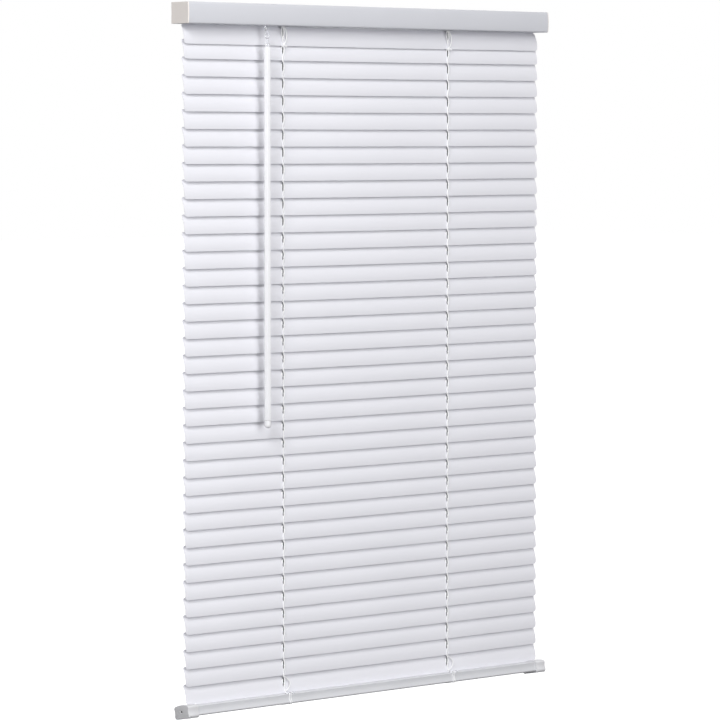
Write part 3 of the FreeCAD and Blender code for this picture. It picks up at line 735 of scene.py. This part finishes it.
@dataclass
class Headrail:
    """The roll-formed channel and its two moulded end caps."""

    length: float = 624.0
    half_depth: float = 15.9
    height: float = 26.7
    gauge: float = 0.7
    bulge: float = 1.0
    lip: float = 3.5
    bend: float = 1.2
    plate: float = 1.5
    plug: float = 8.0
    plug_play: float = 0.3
    plug_wall: float = 1.5
    rim: float = 0.6
    slot: float = 2.5
    stations: int = 27
    clear: float = 3.0
    stem: Triple = (-185.0, -13.06, 2.0)

    def bulged(self, section: Points, inset: float) -> Points:
        """Push the front wall out by bulge * (1 - s^2), s running -1 to 1 from its foot to its top."""
        s = np.clip((section[:, 1] + self.height / 2) / (self.height / 2 - inset), -1, 1)
        front = section[:, 0] < -self.half_depth + inset + self.bend
        moved = section.copy()
        moved[:, 0] -= np.where(front, self.bulge * (1 - s**2), 0.0)
        return moved

    def section(self) -> tuple[Points, Points]:
        """The middle line of the channel's wall, from the back lip round to the front lip.

        Corners are quarter circles of the bend radius; the floor has lines at the stem hole.

        Returns:
            Points (y, z) and unit normals that face out of the channel.
        """
        h = self.gauge / 2
        y, top, low, r = self.half_depth - h, -h, -self.height + h, self.bend
        lip = self.half_depth - self.lip
        turn = np.linspace(0, QUARTER, 6)
        sweep = np.stack([np.sin(turn), np.cos(turn)], -1) * r
        _, stem_y, stem_r = self.stem
        floor = [10.0, 5.0, 0.0, -5.0, -9.0, stem_y + stem_r, stem_y, stem_y - stem_r * 0.55]
        parts = [
            np.linspace((lip, top), (y - r, top), 3)[:-1],
            (y - r, top - r) + sweep,
            np.linspace((y, top - r), (y, low + r), 6)[1:-1],
            (y - r, low + r) + sweep[:, ::-1] * (1, -1),
            np.stack([floor, np.full(len(floor), low)], -1),
            (r - y, low + r) - sweep,
            np.linspace((-y, low + r), (-y, top - r), 11)[1:-1],
            (r - y, top - r) + sweep[:, ::-1] * (-1, 1),
            np.linspace((r - y, top), (-lip, top), 3)[1:],
        ]
        line = self.bulged(np.concatenate(parts), h)
        out = beside(np.gradient(line, axis=0))
        middle = np.array([0.0, -self.height / 2])
        return line, out * np.sign(((line - middle) * out).sum())

    def channel(self) -> Surface:
        """Carry the section along X and leave out the floor's ladder slots and the stem's hole.

        Stations nearer than the clear distance to a slot's or hole's edge give way to that edge.

        Returns:
            The closed channel.
        """
        line, out = self.section()
        end = self.length / 2 - self.plate
        stem_x, stem_y, stem_r = self.stem
        slots = np.concatenate([np.array([-self.slot, self.slot]) + x for x in LADDER_X])
        near = np.concatenate([slots, [stem_x - stem_r, stem_x, stem_x + stem_r]])
        spread = np.linspace(-end, end, self.stations)
        spread = spread[np.abs(spread[:, None] - near[None, :]).min(axis=1) > self.clear]
        x = np.sort(np.concatenate([spread, near]))
        mid_x, mid = (x[1:] + x[:-1]) / 2, (line[1:] + line[:-1]) / 2
        on_floor = (mid[:, 1] < 1.0 - self.height) & (np.abs(mid[:, 0]) < self.half_depth - self.bend)
        keep = np.ones((len(x) - 1, len(line) - 1), bool)
        for centre in LADDER_X:
            keep &= ~((np.abs(mid_x - centre) < self.slot)[:, None] & on_floor[None, :])
        by_stem = on_floor & (np.abs(mid[:, 0] - stem_y) < stem_r)
        keep &= ~((np.abs(mid_x - stem_x) < stem_r)[:, None] & by_stem[None, :])
        return shell(on_x(x, line), on_x(0 * x, out), self.gauge / 2, keep)

    def cap(self, side: Side) -> Surface:
        """An end cap as one skin of rings, from the middle of its face over the rim to the plug.

        Ring depth and inset follow a quarter circle at the rim: depth r(1 - cos a), inset
        r(1 - sin a).

        Args:
            side: which end of the rail.

        Returns:
            The closed cap.
        """
        y, z = self.half_depth, self.height
        corners = np.array([(y, 0.0), (y, -z), (-y, -z), (-y, 0.0)])
        loop = outline(corners, np.array([0, 0, self.bulge, 0]), np.ones(4), 10, 6)
        centre = np.array([0.0, -z / 2])
        plugs = []
        for wall in (0.0, self.plug_wall):
            half, top = y - self.gauge - self.plug_play - wall, -1.0 - wall
            plugs.append(box_ring(loop, (-half, -z - top), (half, top), centre))
        a = np.linspace(0, QUARTER, 5)
        edge = 0.15
        depth = np.concatenate([[0.0], self.rim * (1 - np.cos(a)), [self.plate - edge, self.plate]])
        inset = np.concatenate([self.rim * (1 - np.sin(a)), [0.0, edge]])
        middle = centre + 0.9 * (loop - centre)
        face = np.concatenate([middle[None], loop[None] - inset[:, None, None] * outward(loop)[None]])
        plug = np.stack([plugs[0], plugs[0], plugs[1], plugs[1]])
        deep = self.plate + self.plug * np.array([0, 1, 1, 0])
        x = side.value * (self.length / 2 - np.concatenate([depth, deep]))
        return tube(on_x(x, np.concatenate([face, plug])))

    def build(self) -> None:
        """Add the channel and its caps."""
        # The channel's enamel carries painted shade, a shade darker than the bottom tube's.
        dress = Dress("headrail", Slot.HEADRAIL, HEADRAIL_ENAMEL_PAINTED_SHADE, ("headrail_channel",))
        add_piece("headrail_sheet", self.channel(), dress)
        # The headrail caps' white is painted light, lighter than the bottom caps'.
        caps = joined([self.cap(side) for side in Side])
        add_piece("headrail_caps", caps, Dress("headrail", Slot.CAPS, CAP_ABS_PAINTED_LIGHT, ("headrail_end_caps",)))


# -------- bottom rail


@dataclass
class BottomRail:
    """The steel tube with drawn-in sides, its skirted end caps, cord plugs and cord tails."""

    length: float = 624.0
    axis_z: float = -873.9
    roll: float = math.radians(-10.0)
    half_depth: float = 12.6
    half_height: float = 6.7
    crown: float = 1.5
    waist: float = -1.0
    gauge: float = 0.7
    plate: float = 1.6
    skirt: float = 15.0
    wall: float = 1.5
    drop: float = 0.5
    play: float = 0.15
    bore: float = 1.5
    entry: float = 1.2
    gate: Pair = (-2.24, 2.24)
    tail: float = 0.5
    tail_apart: float = 1.5
    clip_half: float = 8.6
    clip_size: Pair = (1.5, 1.2)
    clip_lean: float = math.radians(38.0)
    plug: tuple[Pair, ...] = (
        *((0.4, -0.3), (1.8, -0.3), (2.2, -0.45), (2.6, -0.5), (3.9, -0.5), (4.5, -0.4)),
        *((4.9, -0.3), (5.0, -0.1), (2.7, -0.1), (2.7, 2.2), (2.4, 2.4), (0.4, 2.4)),
    )

    def loop(self, grow: float) -> Points:
        """The tube's outline grown all round: flat foot, sides drawn in 1 mm, top crowned."""
        a, b, cut = self.half_depth, self.half_height, 1.6
        brow = a - 1.2
        stops = np.array([brow, self.gate[1], self.gate[0], -brow])
        crown = b - 0.6 + self.crown * (1 - (stops / brow) ** 2)
        corners = [(a - cut, -b), (a, -b + cut), (a, b - cut), *zip(stops, crown)]
        corners += [(-a, b - cut), (-a, -b + cut), (-a + cut, -b)]
        rise = self.crown * (np.diff(stops) / 2 / brow) ** 2
        bows = np.array([0, self.waist, 0, *rise, 0, self.waist, 0, 0])
        cuts = np.array([0.7, 0.7, 0.5, 0.5, 0.25, 0.25, 0.5, 0.5, 0.7, 0.7])
        line = outline(np.array(corners), bows, cuts, 5, 3)
        return line + grow * outward(line)

    def placed(self, points: Points) -> Points:
        """Roll points drawn about the rail's own axis and stand them in the row frame."""
        return turned(points, self.roll) + np.array([0.0, 0.0, self.axis_z])

    def tube_wall(self) -> Surface:
        """Carry the outline along X as a sheet with the two cord entries left out of its top."""
        line = self.loop(-self.gauge / 2)
        end = self.length / 2 - self.plate
        near = np.concatenate([np.array([-self.entry, self.entry]) + x for x in HOLE_X])
        x = np.sort(np.concatenate([np.linspace(-end, end, 15), near]))
        normal = turned(on_x(0 * x, outward(line)), self.roll)
        mid_x, mid = (x[1:] + x[:-1]) / 2, (line + np.roll(line, -1, axis=0)) / 2
        gate = (mid[:, 1] > 0) & (mid[:, 0] > self.gate[0]) & (mid[:, 0] < self.gate[1])
        entry = np.abs(mid_x[:, None] - np.array(HOLE_X)[None, :]).min(axis=1) < self.entry
        keep = ~(entry[:, None] & gate[None, :])
        return shell(self.placed(on_x(x, line)), normal, self.gauge / 2, keep, True)

    def cap(self, side: Side) -> Surface:
        """A cap as one looped row of rings: bore, face, rounded rim, skirt outside, lip, skirt inside.

        Args:
            side: which end of the rail.

        Returns:
            The closed cap, with the hold-down bore through its plate.
        """
        line = self.loop(0.0)
        a = np.linspace(0, QUARTER, 5)
        rim, lip, face, full, play = 0.7, 0.35, 2.2, self.play + self.wall, self.play
        deep = self.plate + self.skirt
        grow = [*(full - rim * (1 - np.sin(a))), full, full - lip * 0.3, full - lip, play, play]
        depth = [*(rim * (1 - np.cos(a))), deep - lip, deep - lip * 0.3, deep, deep, self.plate]
        grow = np.array(grow)
        walls = line[None] + grow[:, None, None] * outward(line)[None]
        walls[..., 1] -= self.drop * np.clip((grow - play) / self.wall, 0, 1)[:, None]
        sizes = self.bore + np.array([0.0, 0.0, lip, face])
        holes = sizes[:, None, None] * unit(line)
        x = side.value * (self.length / 2 - np.array([self.plate, lip, 0.0, 0.0, *depth]))
        return tube(self.placed(on_x(x, np.concatenate([holes, walls]))), True)

    def cord_plug(self, x: float) -> Surface:
        """A round plug turned about the rail's upright: a dished disc with a short spigot."""
        foot = np.array([x, 0.0, -self.half_height])
        return tube(self.placed(axial(self.plug, foot, Z_AXIS, round_ring(28))))

    def tails(self) -> Surface:
        """The ladder's two tails at each ladder, laid down the front of the tube to its plug.

        Each follows the outline grown by a little less than the thread's radius, from behind the
        top's front edge round the front, and wavers by 0.25 sin along its way.

        Returns:
            Four threads.
        """
        line = self.loop(self.tail - 0.05)
        front = line[line[:, 0] < -5.5]
        front = front[np.argsort(np.arctan2(front[:, 1], -front[:, 0]))[::-1]]
        threads = []
        for x in LADDER_X:
            for offset in (-self.tail_apart, self.tail_apart):
                at = on_x(np.array([x + offset]), front)[0]
                at[:, 0] += 0.25 * np.sin(np.linspace(0, 4, len(at)) + offset)
                threads.append(wire(self.placed(at), self.tail))
        return joined(threads)

    def clip(self, x: float) -> Surface:
        """The moulded keeper on the tube's front edge that the tails pass under.

        Its half height and half depth along X are sizes * sqrt(1 - s^4), a bar with round ends,
        pinched beside its middle by 0.45 * exp(-((|s| - 0.3) / 0.15)^2) and leant with the shoulder.

        Args:
            x: the middle of the clip.

        Returns:
            The closed clip.
        """
        s = np.linspace(-0.985, 0.985, 31)
        size = np.sqrt(1 - s**4) * (1 - 0.45 * np.exp(-(((np.abs(s) - 0.3) / 0.15) ** 2)))
        lean = turned(round_ring(14) * np.array(self.clip_size), self.clip_lean)
        centre = np.array([-self.half_depth + 0.2, self.half_height + 0.2])
        loops = centre + size[:, None, None] * lean[None]
        return tube(self.placed(on_x(x + self.clip_half * s, loops)))

    def build(self) -> None:
        """Add the tube, caps, plugs, tails and clips."""
        body = "bottom_rail_body"
        wall = Dress(body, Slot.RAIL, RAIL_ENAMEL, ("bottom_rail",))
        add_piece("rail_tube", self.tube_wall(), wall)
        caps = joined([self.cap(side) for side in Side])
        add_piece("rail_caps", caps, Dress(body, Slot.CAPS, FOOT_ABS, ("bottom_rail_caps",)))
        plugs = joined([self.cord_plug(x) for x in LADDER_X])
        add_piece("rail_cord_plugs", plugs, Dress(body, Slot.CAPS, FOOT_ABS, ("cord_plugs",)))
        add_piece("ladder_tails", self.tails(), Dress(body, Slot.CORD, CORD_POLYESTER))
        clips = joined([self.clip(x + 0.6) for x in LADDER_X])
        add_piece("ladder_tail_clips", clips, Dress(body, Slot.CLEAR, POLYCARBONATE))


# -------- cords


@dataclass
class Cords:
    """Ladder cords, their leads on the drums, and the two lift cords with their knots."""

    radius: float = 0.72
    back_radius: float = 0.6
    drawn: float = 1.9
    sway: float = 0.65
    fade: float = 8.0
    steps: int = 340
    slats: Pair = (-56.9, 21.5)
    strand: float = 0.62
    bow_wire: float = 0.5
    bow_y: float = -3.3
    bow_z: float = -51.4
    bow_half: float = 4.2
    front: Triple = (-2.195, -26.88, -865.93)
    back: Triple = (6.5415, -0.99, -840.04)
    rod_z: float = -13.35
    core: float = 4.6
    flange: float = 9.0
    lift_radius: float = 0.66
    run_z: Pair = (-23.4, -25.0)
    run_end: float = 190.0
    knot: Pair = (2.2, -870.4)
    knot_wire: float = 0.8

    def ladder(self, place: Triple, drawn: float, radius: float) -> Surface:
        """Two hanging cords, drawn to one side where the rungs tie to them.

        A cord's X is x - drawn * f * (1 - sway * cos(2 pi (z - first - 1) / pitch)), where f falls
        to nothing over the fade length at its foot.

        Args:
            place: the cords' Y, top and foot.
            drawn: how far the rungs draw them aside on average.
            radius: the cords' radius.

        Returns:
            Both cords.
        """
        y, top, low = place
        z = np.linspace(top, low, self.steps)
        first, pitch = self.slats
        wave = 1 - self.sway * np.cos(FULL_TURN * (z - first - 1) / pitch)
        side = drawn * np.clip((z - low) / self.fade, 0, 1) * wave
        return joined([wire(np.stack([x - side, np.full_like(z, y), z], -1), radius) for x in LADDER_X])

    def strands(self) -> Surface:
        """The spare strands: two either side of the top slat's hole and one above the bottom rail.

        Each goes from start to stop in Z with X = x + at + (to - at) t + bow * sin(pi t)^0.85 and
        stands off the cord by 0.4 + 0.8 sin(pi t), t running 0 to 1.

        Returns:
            Six strands.
        """
        t = np.linspace(0, 1, 22)
        arch = np.sin(math.pi * t)
        y, top, low = self.front
        tied = self.bow_z + 1.0
        # Z at the start and stop, X at the start and stop, and the bow's width.
        ways = (
            (top, tied, -1.5, -1.5, 4.2),
            (top, tied, -4.3, -2.0, -2.0),
            (low + 21.0, low + 1.5, -1.5, -1.5, 8.5),
        )
        parts = []
        for start, stop, at, to, bow in ways:
            for x in LADDER_X:
                side = x + at + (to - at) * t + bow * arch**0.85
                path = np.stack([side, y - 0.4 - 0.8 * arch, start + (stop - start) * t], -1)
                parts.append(wire(path, self.strand))
        return joined(parts)

    def top_bows(self) -> Surface:
        """The tied loops under the top slat: x = half * cos t, z = sin 2t, closed on itself."""
        t = np.linspace(0, FULL_TURN, 36, endpoint=False)
        loops = []
        for x in LADDER_X:
            bow_x = x - 1.2 + self.bow_half * np.cos(t)
            path = np.stack([bow_x, self.bow_y + 0.45 * np.sin(t), self.bow_z + np.sin(2 * t)], -1)
            loops.append(wire(path, self.bow_wire, 7, Y_AXIS, True))
        return joined(loops)

    def leads(self) -> Surface:
        """Threads from each drum's core out to the tops of its ladder cords."""
        threads = []
        for x in LADDER_X:
            hub = np.array([x, 0.0, self.rod_z])
            for y, top, _ in (self.front, self.back):
                tip = np.array([x, y, top])
                way = unit(tip - hub)
                path = eased([hub + way * self.core, hub + way * self.flange, tip], 12, 3)
                threads.append(wire(path, self.radius * 0.9))
        return joined(threads)

    def lift(self, x: float, run_z: float) -> Surface:
        """A cord along the headrail, over a soft bend and down to its knot.

        The knot is a closed trefoil of radius 0.55 size * (0.75 + 0.25 cos 3t).

        Args:
            x: where the cord drops.
            run_z: height of its run in the headrail.

        Returns:
            The cord and its knot.
        """
        size, knot_z = self.knot
        bend = [(x + 2.5, 0.0, run_z), (x, 0.0, run_z - 2.5), (x, 0.0, run_z - 5.0)]
        run = np.linspace((self.run_end, 0.0, run_z), (x + 4.0, 0.0, run_z), 12)
        drop = np.linspace((x, 0.0, run_z - 6.5), (x, 0.0, knot_z), 60)
        cord = wire(np.concatenate([run, eased(bend, 15, 5), drop]), self.lift_radius, 8, Y_AXIS)
        t = np.linspace(0, FULL_TURN, 30, endpoint=False)
        lobes = 0.75 + 0.25 * np.cos(3 * t)
        lumps = size * 0.55 * np.stack([np.cos(2 * t) * lobes, np.sin(2 * t) * lobes, np.sin(3 * t)], -1)
        knot = wire(lumps + (x, 0.0, knot_z), self.knot_wire, 8, lumps, True)
        return joined([cord, knot])

    def build(self) -> None:
        """Add ladder cords, leads and lift cords."""
        front = self.ladder(self.front, self.drawn, self.radius)
        back = self.ladder(self.back, 0.0, self.back_radius)
        for name, pair in (("front", front), ("back", back)):
            node = (f"ladder_{name}_cords",)
            dress = Dress(f"ladder_{name}_body", Slot.CORD, CORD_POLYESTER, node)
            add_piece(f"ladder_{name}_pair", pair, dress)
        loose = joined([self.top_bows(), self.strands()])
        add_piece("ladder_loose_strands", loose, Dress("ladder_front_body", Slot.CORD, CORD_POLYESTER))
        add_piece("ladder_leads", self.leads(), Dress("tilt_rod_body", Slot.CORD, CORD_POLYESTER))
        # The lift cords' charcoal braid is painted shade for the dark holes in the slats.
        lifts = joined([self.lift(x, z) for x, z in zip(HOLE_X, self.run_z)])
        add_piece("lift_cord_pair", lifts, Dress("headrail", Slot.CORD, LIFT_CORD_PAINTED_SHADE, ("lift_cords",)))


# -------- tilter and wand


@dataclass
class Tilter:
    """The clear worm with its stem and eye, and the wand that hangs from it."""

    worm_at: Triple = (-185.0, -7.33, -10.68)
    lean: float = math.radians(20.0)
    core: float = 2.0
    thread: float = 1.6
    lead: float = math.pi * 0.8
    half: float = 6.0
    stem: float = 1.4
    eye_at: float = 26.8
    eye: Pair = (2.8, 0.8)
    wand: Triple = (-185.0, -17.453, 0.0)
    loop_z: float = -39.797
    loop: Pair = (3.4, 0.8)
    shank: float = 1.6
    stick: Pair = (-53.0, -517.7)
    tip: Pair = (-518.0, -528.0)
    radius: float = 4.4

    def worm(self) -> Surface:
        """The worm: radius = core + thread * hump(frac(h / lead - a / 2 pi)) in its threaded length.

        The hump is smooth over the middle two fifths of the lead.

        Returns:
            Worm, stem and eye in one.
        """
        down = np.array([0.0, -math.sin(self.lean), -math.cos(self.lean)])
        h = np.linspace(-self.half, self.half, 121)
        angle = np.linspace(0, FULL_TURN, 28, endpoint=False)
        phase = (h[:, None] / self.lead - angle[None, :] / FULL_TURN) % 1.0 - 0.5
        hump = np.clip(1.25 - np.abs(phase) * 6.0, 0, 1)
        span = np.clip((5.2 - np.abs(h)) / 0.6, 0, 1)[:, None]
        radius = self.core + self.thread * hump * span
        spokes = round_ring(28) @ np.stack([X_AXIS, np.cross(down, X_AXIS)])
        origin = np.array(self.worm_at)
        body = tube(origin + h[:, None, None] * down + radius[..., None] * spokes[None])
        reach, stem = self.eye_at - self.eye[0], self.stem
        profile = [(0.9, -7.5), (stem, -7.2), (stem, -6.0), (stem, 6.0), (stem, reach - 3.5)]
        profile += [(1.25, reach - 1.5), (1.1, reach - 0.2), (0.6, reach + 0.35)]
        rod = tube(axial(profile, origin, down, round_ring(20)))
        return joined([body, rod, hoop(origin + self.eye_at * down, *self.eye, down, X_AXIS)])

    def facets(self) -> Points:
        """A six-sided ring: radius = cos(30) / cos(a mod 60 - 30), cut back at its corners."""
        count, corner = 48, 0.965
        angle = np.linspace(0, FULL_TURN, count, endpoint=False)
        local = (angle + math.radians(8)) % (math.pi / 3) - math.pi / 6
        radius = np.minimum(math.cos(math.pi / 6) / np.cos(local), corner) / corner
        return round_ring(count) * radius[:, None]

    def hook(self) -> Surface:
        """The clear loop and the shank that is pressed into the stick."""
        centre = np.array([*self.wand[:2], self.loop_z])
        top, r = self.loop_z - self.loop[0], self.shank
        profile = [(0.5, top + 0.5), (1.0, top + 0.1), (1.25, top - 1.0), (r, top - 2.6), (r, -48.5)]
        profile += [(2.5, -49.3), (2.8, -50.2), (2.8, -52.2), (2.5, -52.8), (r, -52.9), (r, -59.6)]
        profile += [(1.2, -60.0)]
        shank = axial(profile, self.wand, Z_AXIS, round_ring(24))
        return joined([hoop(centre, *self.loop, Z_AXIS, Y_AXIS), tube(shank)])

    def rod(self) -> Surface:
        """The stick: six soft facets, chamfered ends and a blind bore at each end."""
        top, low = self.stick
        up, down, r = self.shank + 0.15, 1.8, self.radius
        facets = self.facets()
        ring = unit(facets)
        holes = [(down * 0.5, low + 9.2), (down, low + 9.0), (down, low + 0.15), (2.1, low)]
        length = np.linspace(low + 0.7, top - 1.0, 24)
        skin = [(r - 0.35, low), (r - 0.1, low + 0.2), *((r, z) for z in length), (r - 0.25, top - 0.3)]
        crown = [(r - 0.7, top), (2.0, top), (up, top - 0.2), (up, top - 7.6), (up * 0.5, top - 8.0)]
        parts = ((holes, ring), (skin, facets), (crown, ring))
        return tube(np.concatenate([axial(line, self.wand, Z_AXIS, shape) for line, shape in parts]))

    def end_cap(self) -> Surface:
        """A domed cap, radius r sin a at height -r cos a from the dome's centre, with its pin."""
        top, low = self.tip
        r, neck, pin = self.radius, self.radius - 0.3, 1.5
        dome = [(r * math.sin(a), low + r - r * math.cos(a)) for a in np.linspace(0.12, QUARTER, 9)]
        rest = [(r, top - 1.6), (neck, top - 1.3), (neck, top - 0.9), (r, top - 0.7), (r, top - 0.3)]
        end = [(neck, top), (1.6, top), (pin, top + 0.3), (pin, top + 8.2), (1.1, top + 8.8)]
        return tube(axial(dome + rest + end, self.wand, Z_AXIS, round_ring(32)))

    def build(self) -> None:
        """Add the worm, hook, stick and end cap."""
        pieces = (
            ("clear_worm", self.worm(), "worm_body", Slot.CLEAR, POLYCARBONATE, "tilter_worm", 32.0),
            ("clear_hook", self.hook(), "wand_body", Slot.CLEAR, POLYCARBONATE, "wand_hook", 32.0),
            ("wand_stick", self.rod(), "wand_body", Slot.WAND, WAND_ACRYLIC, "wand_rod", 24.0),
            ("wand_tip", self.end_cap(), "wand_swing_body", Slot.WAND, WAND_ACRYLIC, "wand_end_cap", 32.0),
        )
        for name, surface, body, slot, finish, node, sharp in pieces:
            add_piece(name, surface, Dress(body, slot, finish, (node,)), sharp)


@dataclass
class InnerWorks:
    """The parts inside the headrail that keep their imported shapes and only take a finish."""

    finishes: dict[str, Finish] = field(
        default_factory=lambda: {
            "tilt_rod": ROD_STEEL,
            "tilt_gear": NYLON,
            "ladder_drums": NYLON,
            "drum_cradles": NYLON,
            "tilter_case": CAP_ABS_PAINTED_LIGHT,
            "spring_motor_case": MOTOR_ABS,
            "spring_motor_cover": MOTOR_ABS,
            "motor_spools": NYLON,
            "flat_spring": SPRING_STEEL,
        }
    )

    def dress(self, nodes: dict[str, bpy.types.Object]) -> None:
        """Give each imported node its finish.

        Args:
            nodes: the frame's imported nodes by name.
        """
        for name, finish in self.finishes.items():
            slots = nodes[name].data.materials
            slots.clear()
            slots.append(finish.make())
            LOG.info("%s: %s", name, finish.name)


# -------- studio


@dataclass(frozen=True)
class Lamp:
    """A square soft lamp: where it stands and what it faces in metres, its side in m and its watts."""

    name: str
    place: Triple
    aim: Triple
    size: float
    power: float

    def hang(self) -> None:
        """Add the lamp to the scene, turned to its aim."""
        data = bpy.data.lights.new(self.name, "AREA")
        data.shape, data.size, data.energy = "SQUARE", self.size, self.power
        lamp = bpy.data.objects.new(self.name, data)
        lamp.location = self.place
        x, y, z = np.array(self.aim) - np.array(self.place)
        lamp.rotation_euler = (math.atan2(math.hypot(x, y), -z), 0.0, math.atan2(-x, y))
        bpy.context.scene.collection.objects.link(lamp)
        LOG.info("%s: %.0f W", self.name, self.power)


@dataclass
class Studio:
    """A plain white studio: floor, world, soft lights and the camera."""

    camera_at: Triple = (-3.3624, -3.6450, -0.1651)
    yaw: float = 0.7432
    pitch: float = 0.0575
    lens: float = 193.69
    sensor: float = 36.0
    floor_z: float = -1.3
    reach: float = 30.0
    ambient: float = 0.30
    floor_glow: float = 0.45
    fade: Pair = (1.0, 2.3)
    lamps: tuple[Lamp, ...] = (
        Lamp("key", (-0.8, -3.7, 0.75), (0.0, 0.0, -0.44), 2.5, 75.0),
        Lamp("fill", (-2.0, -1.1, 1.2), (0.0, 0.0, -0.3), 0.9, 40.0),
        Lamp("low", (-0.9, -3.4, -0.5), (0.0, 0.0, -0.5), 1.2, 18.0),
        Lamp("back", (0.9, 3.4, -1.1), (0.0, 0.0, -0.4), 1.6, 26.0),
    )

    def seen(self, tree: Tree) -> Socket:
        """One where the camera, a reflection or a look through clear plastic sees the background."""
        path = add_node(tree, "ShaderNodeLightPath").outputs
        first = sum_of(tree, "MAXIMUM", path["Is Camera Ray"], path["Is Glossy Ray"])
        return sum_of(tree, "MAXIMUM", first, path["Is Transmission Ray"])

    def surround(self) -> None:
        """A white world that lights the blind softly and shows as plain white."""
        world = bpy.data.worlds.new("studio")
        bpy.context.scene.world = world
        world.use_nodes = True
        tree = world.node_tree
        tree.nodes.clear()
        reach = {"Value": self.seen(tree), "To Min": self.ambient, "To Max": 1.0}
        strength = add_node(tree, "ShaderNodeMapRange", reach).outputs["Result"]
        light = add_node(tree, "ShaderNodeBackground", {"Color": colour("FFFFFF"), "Strength": strength})
        add_node(tree, "ShaderNodeOutputWorld", {"Surface": light.outputs["Background"]})

    def floor(self) -> None:
        """A pale floor that takes the blind's shadow near it and fades to plain white further off.

        Light that bounces off it is kept low, so that it does not fill the gaps between the slats.
        """
        steps = np.linspace(-self.reach, self.reach, 9)
        x, y = np.meshgrid(steps, steps)
        points = np.stack([x, y, np.full_like(x, self.floor_z)], -1).reshape(-1, 3)
        mesh = bpy.data.meshes.new("floor")
        mesh.from_pydata(points.tolist(), [], quad_grid(9, 9).reshape(-1, 4).tolist())
        material, tree = new_material("matt_white_floor")
        place = add_node(tree, "ShaderNodeTexCoord").outputs["Object"]
        flat = add_node(tree, "ShaderNodeVectorMath", {0: place, 1: (1.0, 1.0, 0.0)}, operation="MULTIPLY")
        away = add_node(tree, "ShaderNodeVectorMath", {0: flat.outputs["Vector"]}, operation="LENGTH")
        reach = {"From Min": self.fade[0], "From Max": self.fade[1], "To Min": self.floor_glow, "To Max": 1.0}
        reach["Value"] = away.outputs["Value"]
        fade = add_node(tree, "ShaderNodeMapRange", reach, interpolation_type="SMOOTHSTEP").outputs["Result"]
        glow = sum_of(tree, "MULTIPLY", fade, self.seen(tree))
        pale = add_node(tree, "ShaderNodeBsdfDiffuse", {"Color": colour("E6E6E8")})
        quiet = add_node(tree, "ShaderNodeBsdfDiffuse", {"Color": colour("3C3C3E")})
        bounce = add_node(tree, "ShaderNodeLightPath").outputs["Is Diffuse Ray"]
        paint = add_node(tree, "ShaderNodeMixShader", {0: bounce, 1: pale.outputs[0], 2: quiet.outputs[0]})
        white = add_node(tree, "ShaderNodeEmission", {"Color": colour("FFFFFF"), "Strength": glow})
        both = add_node(tree, "ShaderNodeAddShader", {0: paint.outputs[0], 1: white.outputs[0]})
        add_node(tree, "ShaderNodeOutputMaterial", {"Surface": both.outputs[0]})
        mesh.materials.append(material)
        floor = bpy.data.objects.new("floor", mesh)
        bpy.context.scene.collection.objects.link(floor)

    def camera(self) -> None:
        """The camera, level in roll, turned by yaw about the upright and lowered by pitch."""
        data = bpy.data.cameras.new("camera")
        data.lens, data.sensor_width, data.dof.use_dof = self.lens, self.sensor, False
        camera = bpy.data.objects.new("camera", data)
        camera.location = self.camera_at
        camera.rotation_euler = (QUARTER - self.pitch, 0.0, -self.yaw)
        bpy.context.scene.collection.objects.link(camera)
        bpy.context.scene.camera = camera

    def build(self) -> None:
        """Set up the world, floor, lamps and camera."""
        bpy.context.scene.view_settings.view_transform = "Standard"
        self.surround()
        self.floor()
        for lamp in self.lamps:
            lamp.hang()
        self.camera()


def main() -> None:
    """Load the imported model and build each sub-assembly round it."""
    logging.basicConfig(level=logging.INFO, format="%(name)s: %(message)s")
    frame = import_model()
    Studio().build()
    Headrail().build()
    InnerWorks().dress(frame["nodes"])
    Tilter().build()
    SlatStack().build()
    Cords().build()
    BottomRail().build()
    bpy.context.view_layer.update()


if __name__ == "__main__":
    main()
